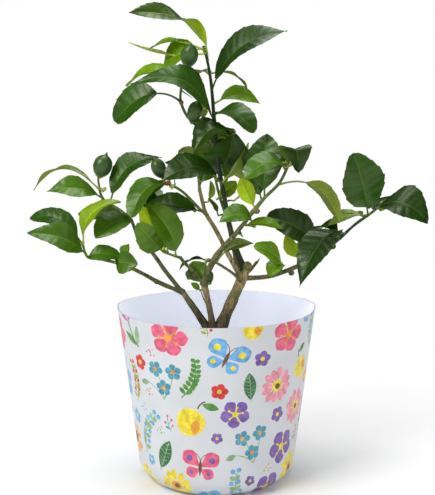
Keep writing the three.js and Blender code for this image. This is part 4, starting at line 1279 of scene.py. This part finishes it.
def make_soil():
    piece = Piece("soil_bed")
    chance = random.Random(5)
    outer = wall_radius(SOIL_TOP) - 2.2
    rings, spokes = 34, 120
    around = [polar(1, 360 * spoke / spokes) for spoke in range(spokes)]
    places = []
    for ring in range(1, rings + 1):
        radius = outer * ring / rings
        for cos, sin in around:
            spot = Vector((radius * cos, radius * sin, 0))
            height = SOIL_TOP - 1.2 + 1.6 * noise.noise(spot / 14) + 1.5 * math.exp(-radius / 14)
            height += 0.9 * noise.noise((spot + Vector((0, 0, 7))) / 3.5)
            places.append((spot.x, spot.y, height))
    for radius, depth in ((wall_radius(60) - 4, 60), (wall_radius(6) - 16, 6)):
        places += [(radius * cos, radius * sin, depth) for cos, sin in around]
    faces = [face[::-1] for face in grid_faces(rings + 2, spokes, closed=True)]
    hub = len(places)
    places += [(0, 0, SOIL_TOP + 0.5), (0, 0, 6)]
    for spoke in range(spokes):
        following = (spoke + 1) % spokes
        faces += [[following, hub, spoke], [hub + 1, hub - spokes + following, hub - spokes + spoke]]
    piece.add(places, faces, "soil")
    for _ in range(420):
        angle, radius = 360 * chance.random(), (outer - 3) * math.sqrt(chance.random())
        size = 0.7 + 1.5 * chance.random() ** 2
        middle = np.array([*polar(radius, angle), SOIL_TOP - 0.6 + 0.5 * size])
        axis = [chance.random() - 0.5, chance.random() - 0.5, 0.4]
        rough = [0.75 + 0.5 * chance.random() for _ in range(5)]
        profile = scaled(size, [(-1, 0), (-0.6, 0.7), (0.1, 1), (0.7, 0.6), (1, 0)])
        kind = "soil_grit" if chance.random() < 0.1 else "soil_lump"
        ball(piece, middle, axis, profile, kind, 5, lambda d, a, r=rough: r[int(a * 0.79) % 5])
    return piece.build(sharp=60)


BROWN_BARKS = ("bark_brown", "bark_tan", "bark_olive")
STEM_FINISHES = {"foliage_top": "bark_dark", "foliage_right_far": "bark_dark"}
RING_STEP = 0.8
TRUNK_RINGS = 34


def bark_relief(seed, depth):
    def relief(along, angle):
        cos, sin = math.cos(angle), math.sin(angle)
        spot = Vector((cos * 1.6, sin * 1.6 + seed * 9.7, along / 7))
        fine = Vector((cos * 4.2, sin * 4.2 + seed * 3.1, along / 2.2))
        return 1 + depth * noise.noise(spot) + 0.4 * depth * noise.noise(fine)

    return relief


def girth_at(shares, girth):
    return np.interp(shares, np.linspace(0, 1, len(girth)), girth)


def grow_limb(piece, guide, girth, finish, seed, sides, collar=0.35, depth=0.12):
    """Tapering limb with a collar where it leaves its parent and slight swellings on its way."""
    route = Route([planned(point) for point in guide])
    shares = np.linspace(0, 1, max(6, int(route.length / RING_STEP)) + 1)
    distance = shares * route.length
    radii = girth_at(shares, girth) * (1 + collar * np.exp(-distance / (1.6 * girth[0])))
    swell = np.array([noise.noise(Vector((seed * 5.3, place / 9, 1.7))) for place in distance])
    tube(piece, route.at(shares), radii * (1 + 0.12 * swell), finish, sides, bark_relief(seed, depth))
    return route


def grow_trunk(piece, guide, girth, finish):
    """Foot of the trunk, with its root flare at the level of the soil."""
    route = Route([planned(point) for point in guide])
    shares = np.linspace(0, 1, TRUNK_RINGS)
    radii = girth_at(shares, girth) * np.interp(shares, [0, 0.75, 1], [1, 0.94, 0.62])
    rough = bark_relief(3, 0.16)

    def relief(along, angle):
        return rough(along, angle) + 0.13 * math.exp(-along / 9) * math.cos(4 * angle + 0.8)

    tube(piece, route.at(shares), radii, finish, 36, relief)


def young_fruit(piece, base, offset, radius, half, seed):
    """Nippled fruit on a short stalk with its calyx."""
    centre = base + np.array(offset, float)
    axis = unit(centre - base)
    profile = [(-half, 0)]
    for step in range(1, 16):
        turn = math.pi * step / 16
        width = radius * math.sin(turn) ** 0.92
        profile.append((-half * math.cos(turn), width * (1 - 0.05 * math.cos(turn))))
    profile = [row for row in profile if row[0] < half * 0.97]
    profile += [(half * 1.03, radius * 0.2), (half * 1.14, radius * 0.13), (half * 1.2, radius * 0.1)]

    def dimples(distance, angle):
        spot = Vector((math.cos(angle) * 2.4, math.sin(angle) * 2.4 + seed, distance / radius * 2.4))
        return 1 + 0.02 * noise.noise(spot) + 0.018 * noise.noise(spot * 3.1)

    ball(piece, centre, axis, [*profile, (half * 1.24, 0)], "fruit", 32, dimples)
    tip = [(-0.5, 0), (-0.3, 0.6), (0.4, 0.5), (1.3, 0.25), (1.6, 0)]
    ball(piece, centre + axis * half * 1.16, axis, tip, "fruit_tip", 10)
    foot = centre - axis * half
    calyx = [(-1.5, 0), (-1.2, 0.9), (-0.3, 1.5), (0.35, radius * 0.42), (0.9, radius * 0.36), (1.1, 0)]
    ball(piece, foot, axis, calyx, "calyx", 20, lambda along, angle: 1 + 0.16 * math.cos(5 * angle))
    tube(piece, [base, base * 0.5 + foot * 0.5, foot], [0.95, 0.85, 1.0], "calyx", 8)


def bud(piece, middle, axis, size, finish):
    profile = scaled(size, [(-1, 0), (-0.7, 0.42), (0, 0.62), (0.6, 0.4), (1, 0)])
    ball(piece, middle, axis, profile, finish, 9)


def side_twig(piece, start, end, radii, rings=8, lift=0):
    """Thin twig from start to end, lifted a little on its way."""
    middle = (start + end) / 2 + np.array([0, 0, lift])
    line = Route([start, middle, end]).at(np.linspace(0, 1, rings))
    tube(piece, line, np.linspace(*radii, rings), "twig", 8)


def grown_leaves(route, spray, outlines, numbers):
    """Leaves of a spray as they grow: the planned ones and their partners, or a rear spray's own."""
    if not spray.leaves:
        return rear_leaves(route, outlines, numbers), 0
    leaves = [lifted(route.at(sketch.share), sketch) for sketch in spray.leaves]
    wide = [shape for sketch, shape in zip(spray.leaves, leaves) if sketch.width >= PARTNER_MIN_WIDTH]
    partners = [partner_of(route, shape, outlines) for shape in wide]
    return leaves + [partner for partner in partners if partner], len(leaves)


def grow_tree():
    """Limbs, twigs, leaves, young fruit and buds, by the same rule as the solids and finer."""
    chance = random.Random(12)
    names = ["limbs_brown", "limbs_green", "twigs", "young_fruit", "buds", "leaves_front", "leaves_rear"]
    pieces = [Piece(name) for name in names]
    brown, green, twigs, young, buds, front, rear = pieces
    taken, routes = [], []
    for seed, (guide, girth, finish) in enumerate(LIMBS.values()):
        if seed == 0:
            grow_trunk(brown, guide, girth, finish)
        else:
            piece = brown if finish in BROWN_BARKS else green
            routes.append(grow_limb(piece, guide, girth, finish, seed, 28 if girth[0] > 4 else 16))
    for middle, radius, finish in NODES:
        profile = scaled(radius, [(-1, 0), (-0.7, 0.7), (0, 1), (0.7, 0.7), (1, 0)])
        ball(green, planned(middle), [0.2, 0.1, 1], profile, finish, 14, bark_relief(middle[0], 0.3))

    outlines = front_outlines()
    numbers = seeded_numbers(REAR_SEED)
    for seed, (name, spray) in enumerate({**SPRAYS, **REAR_SPRAYS}.items()):
        stem_finish = STEM_FINISHES.get(name, "twig")
        route = grow_limb(twigs, spray.stem, spray.girth, stem_finish, 30 + seed, 12, 0.25, 0.08)
        routes.append(route)
        for share, *item in spray.fruits:
            young_fruit(young, route.at(share), *item, seed)
        leaves, planned_count = grown_leaves(route, spray, outlines, numbers)
        own = []
        for place, shape in enumerate(leaves):
            base = route.at(shape.share)
            room = coarse_leaf(base, shape, GAP)
            if place >= planned_count and any(room.overlap(other) for other in taken):
                continue
            own.append(coarse_leaf(base, shape, 0))
            grow_leaf(front if place < planned_count else rear, base, shape, chance)
            direction = unit(leaf_frames(base, shape, 0.12)[0] - base)
            ahead = unit(route.at(min(1, shape.share + 0.02)) - route.at(max(0, shape.share - 0.02)))
            bud(buds, base + (direction + ahead * 1.4) * 0.95, direction + ahead, 1.15, "bud_green")
            ball(twigs, base, ahead, [(-1.3, 0), (-0.8, 0.9), (0, 1.15), (0.8, 0.9), (1.3, 0)], "twig", 10)
        taken += own

    wood = np.concatenate([route.line for route in routes])

    def nearest(place):
        return wood[np.argmin(np.linalg.norm(wood - place, axis=1))]

    for start, shape in SMALL_LEAVES:
        base = planned(start)
        grow_leaf(front, base, shape, chance)
        side_twig(twigs, nearest(base), base, (0.8, 0.6), lift=0.6)
    for middle, count, spread, finish in BUD_CLUSTERS:
        heart = planned(middle)
        for _ in range(count):
            axis = unit([chance.gauss(0, 1), chance.gauss(0, 1), abs(chance.gauss(0, 1)) + 0.4])
            size = 1.3 + 0.7 * chance.random()
            bud(buds, heart + axis * spread * (0.55 + 0.5 * chance.random()), axis, size, finish)
            stalk = [heart + axis * spread * share for share in (0, 0.4, 0.8)]
            tube(buds, stalk, [0.5, 0.45, 0.4], finish, 6)
    for middle, radius, half in TINY_FRUITS:
        offset = np.array([0, 0, half + 1])
        base = planned(middle) - offset
        young_fruit(young, base, offset, radius, half, 77)
        side_twig(twigs, nearest(base), base, (0.8, 0.7), rings=6)
    for start, end, radius in SPURS:
        side_twig(twigs, planned(start), planned(end), (radius, radius * 0.35))
    return {piece.name: piece.build(75 if piece in (front, rear) else 50) for piece in pieces}


def fit(piece, nodes):
    """The piece stands for these nodes of the part, which are hidden."""
    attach(piece, "root")
    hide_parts(*nodes)


FOLIAGE = [*SPRAYS, *REAR_SPRAYS]
tree = grow_tree()
fit(tree["limbs_brown"], [name for name, limb in LIMBS.items() if limb[2] in BROWN_BARKS])
fit(tree["limbs_green"], [name for name, limb in LIMBS.items() if limb[2] not in BROWN_BARKS])
fit(tree["twigs"], FOLIAGE)
for kind in ("leaves_front", "leaves_rear", "young_fruit", "buds"):
    fit(tree[kind], FOLIAGE)
fit(make_sleeve(), ["pot"])
fit(make_soil(), ["soil"])


STUDIO_RADIUS = 7
WALL_HEIGHT = 3.2
FLOOR_FADE = (0.1, 0.34)
# Lamps: place, size and power
LAMPS = {
    "key": ((-0.9, -0.8, 1.2), 0.7, 18.5),
    "fill": ((0.9, -0.9, 0.6), 1.0, 2.6),
    "top": ((0.1, 0.25, 1.5), 0.9, 13.0),
}
AIM = Vector((0, 0, 0.18))
DAYLIGHT = 0.32
LENS = 63.78
BLACK, WHITE = (0, 0, 0, 1), (1, 1, 1, 1)


def placed(name, data, place):
    made = bpy.data.objects.new(name, data)
    made.location = place
    bpy.context.scene.collection.objects.link(made)
    return made


def studio_finish(name):
    """Dull and bright by itself, so that it shows as white."""
    finish = Finish(name, 0.95, 0.05)
    finish.wear("Base Color", BLACK)
    finish.wear("Emission Color", WHITE)
    finish.wear("Emission Strength", 1.0)
    return finish


def make_stage():
    """Plain pale floor with a white wall round it, soft studio light and the camera."""
    floor_finish = studio_finish("studio_floor")
    distance = floor_finish.node("ShaderNodeVectorMath", {"operation": "LENGTH"}, {0: floor_finish.place}, 1)
    glow = floor_finish.steps(distance, *FLOOR_FADE)
    floor_finish.wear("Base Color", floor_finish.blend(glow, (0.86, 0.86, 0.87, 1), BLACK))
    floor_finish.wear("Emission Color", floor_finish.blend(glow, BLACK, WHITE))
    bpy.ops.mesh.primitive_circle_add(vertices=96, radius=STUDIO_RADIUS, fill_type="NGON")
    floor = bpy.context.object
    floor.name = "studio_floor"
    floor.data.materials.append(floor_finish.material)
    size = {"vertices": 96, "radius": STUDIO_RADIUS, "depth": WALL_HEIGHT, "end_fill_type": "NOTHING"}
    bpy.ops.mesh.primitive_cylinder_add(**size, location=(0, 0, WALL_HEIGHT / 2))
    wall = bpy.context.object
    wall.name = "studio_wall"
    wall.data.materials.append(studio_finish("studio_wall").material)
    wall.visible_glossy = False
    for name, (place, size, power) in LAMPS.items():
        light = bpy.data.lights.new(name, "AREA")
        light.shape = "SQUARE"
        light.size = size
        light.energy = power
        aim = AIM - Vector(place)
        placed(name, light, place).rotation_euler = aim.to_track_quat("-Z", "Y").to_euler()
    world = bpy.data.worlds.new("studio")
    bpy.context.scene.world = world
    world.use_nodes = True
    background = world.node_tree.nodes["Background"]
    background.inputs["Color"].default_value = WHITE
    background.inputs["Strength"].default_value = DAYLIGHT
    world.cycles_visibility.glossy = False
    camera = placed("camera", bpy.data.cameras.new("camera"), Vector(FRONT_EYE) * MM)
    camera.rotation_euler = (math.pi / 2 - TILT, 0, 0)
    camera.data.sensor_width = 36
    camera.data.lens = LENS
    camera.data.clip_start = 0.01
    bpy.context.scene.camera = camera
    bpy.context.scene.view_settings.view_transform = "Standard"


make_stage()
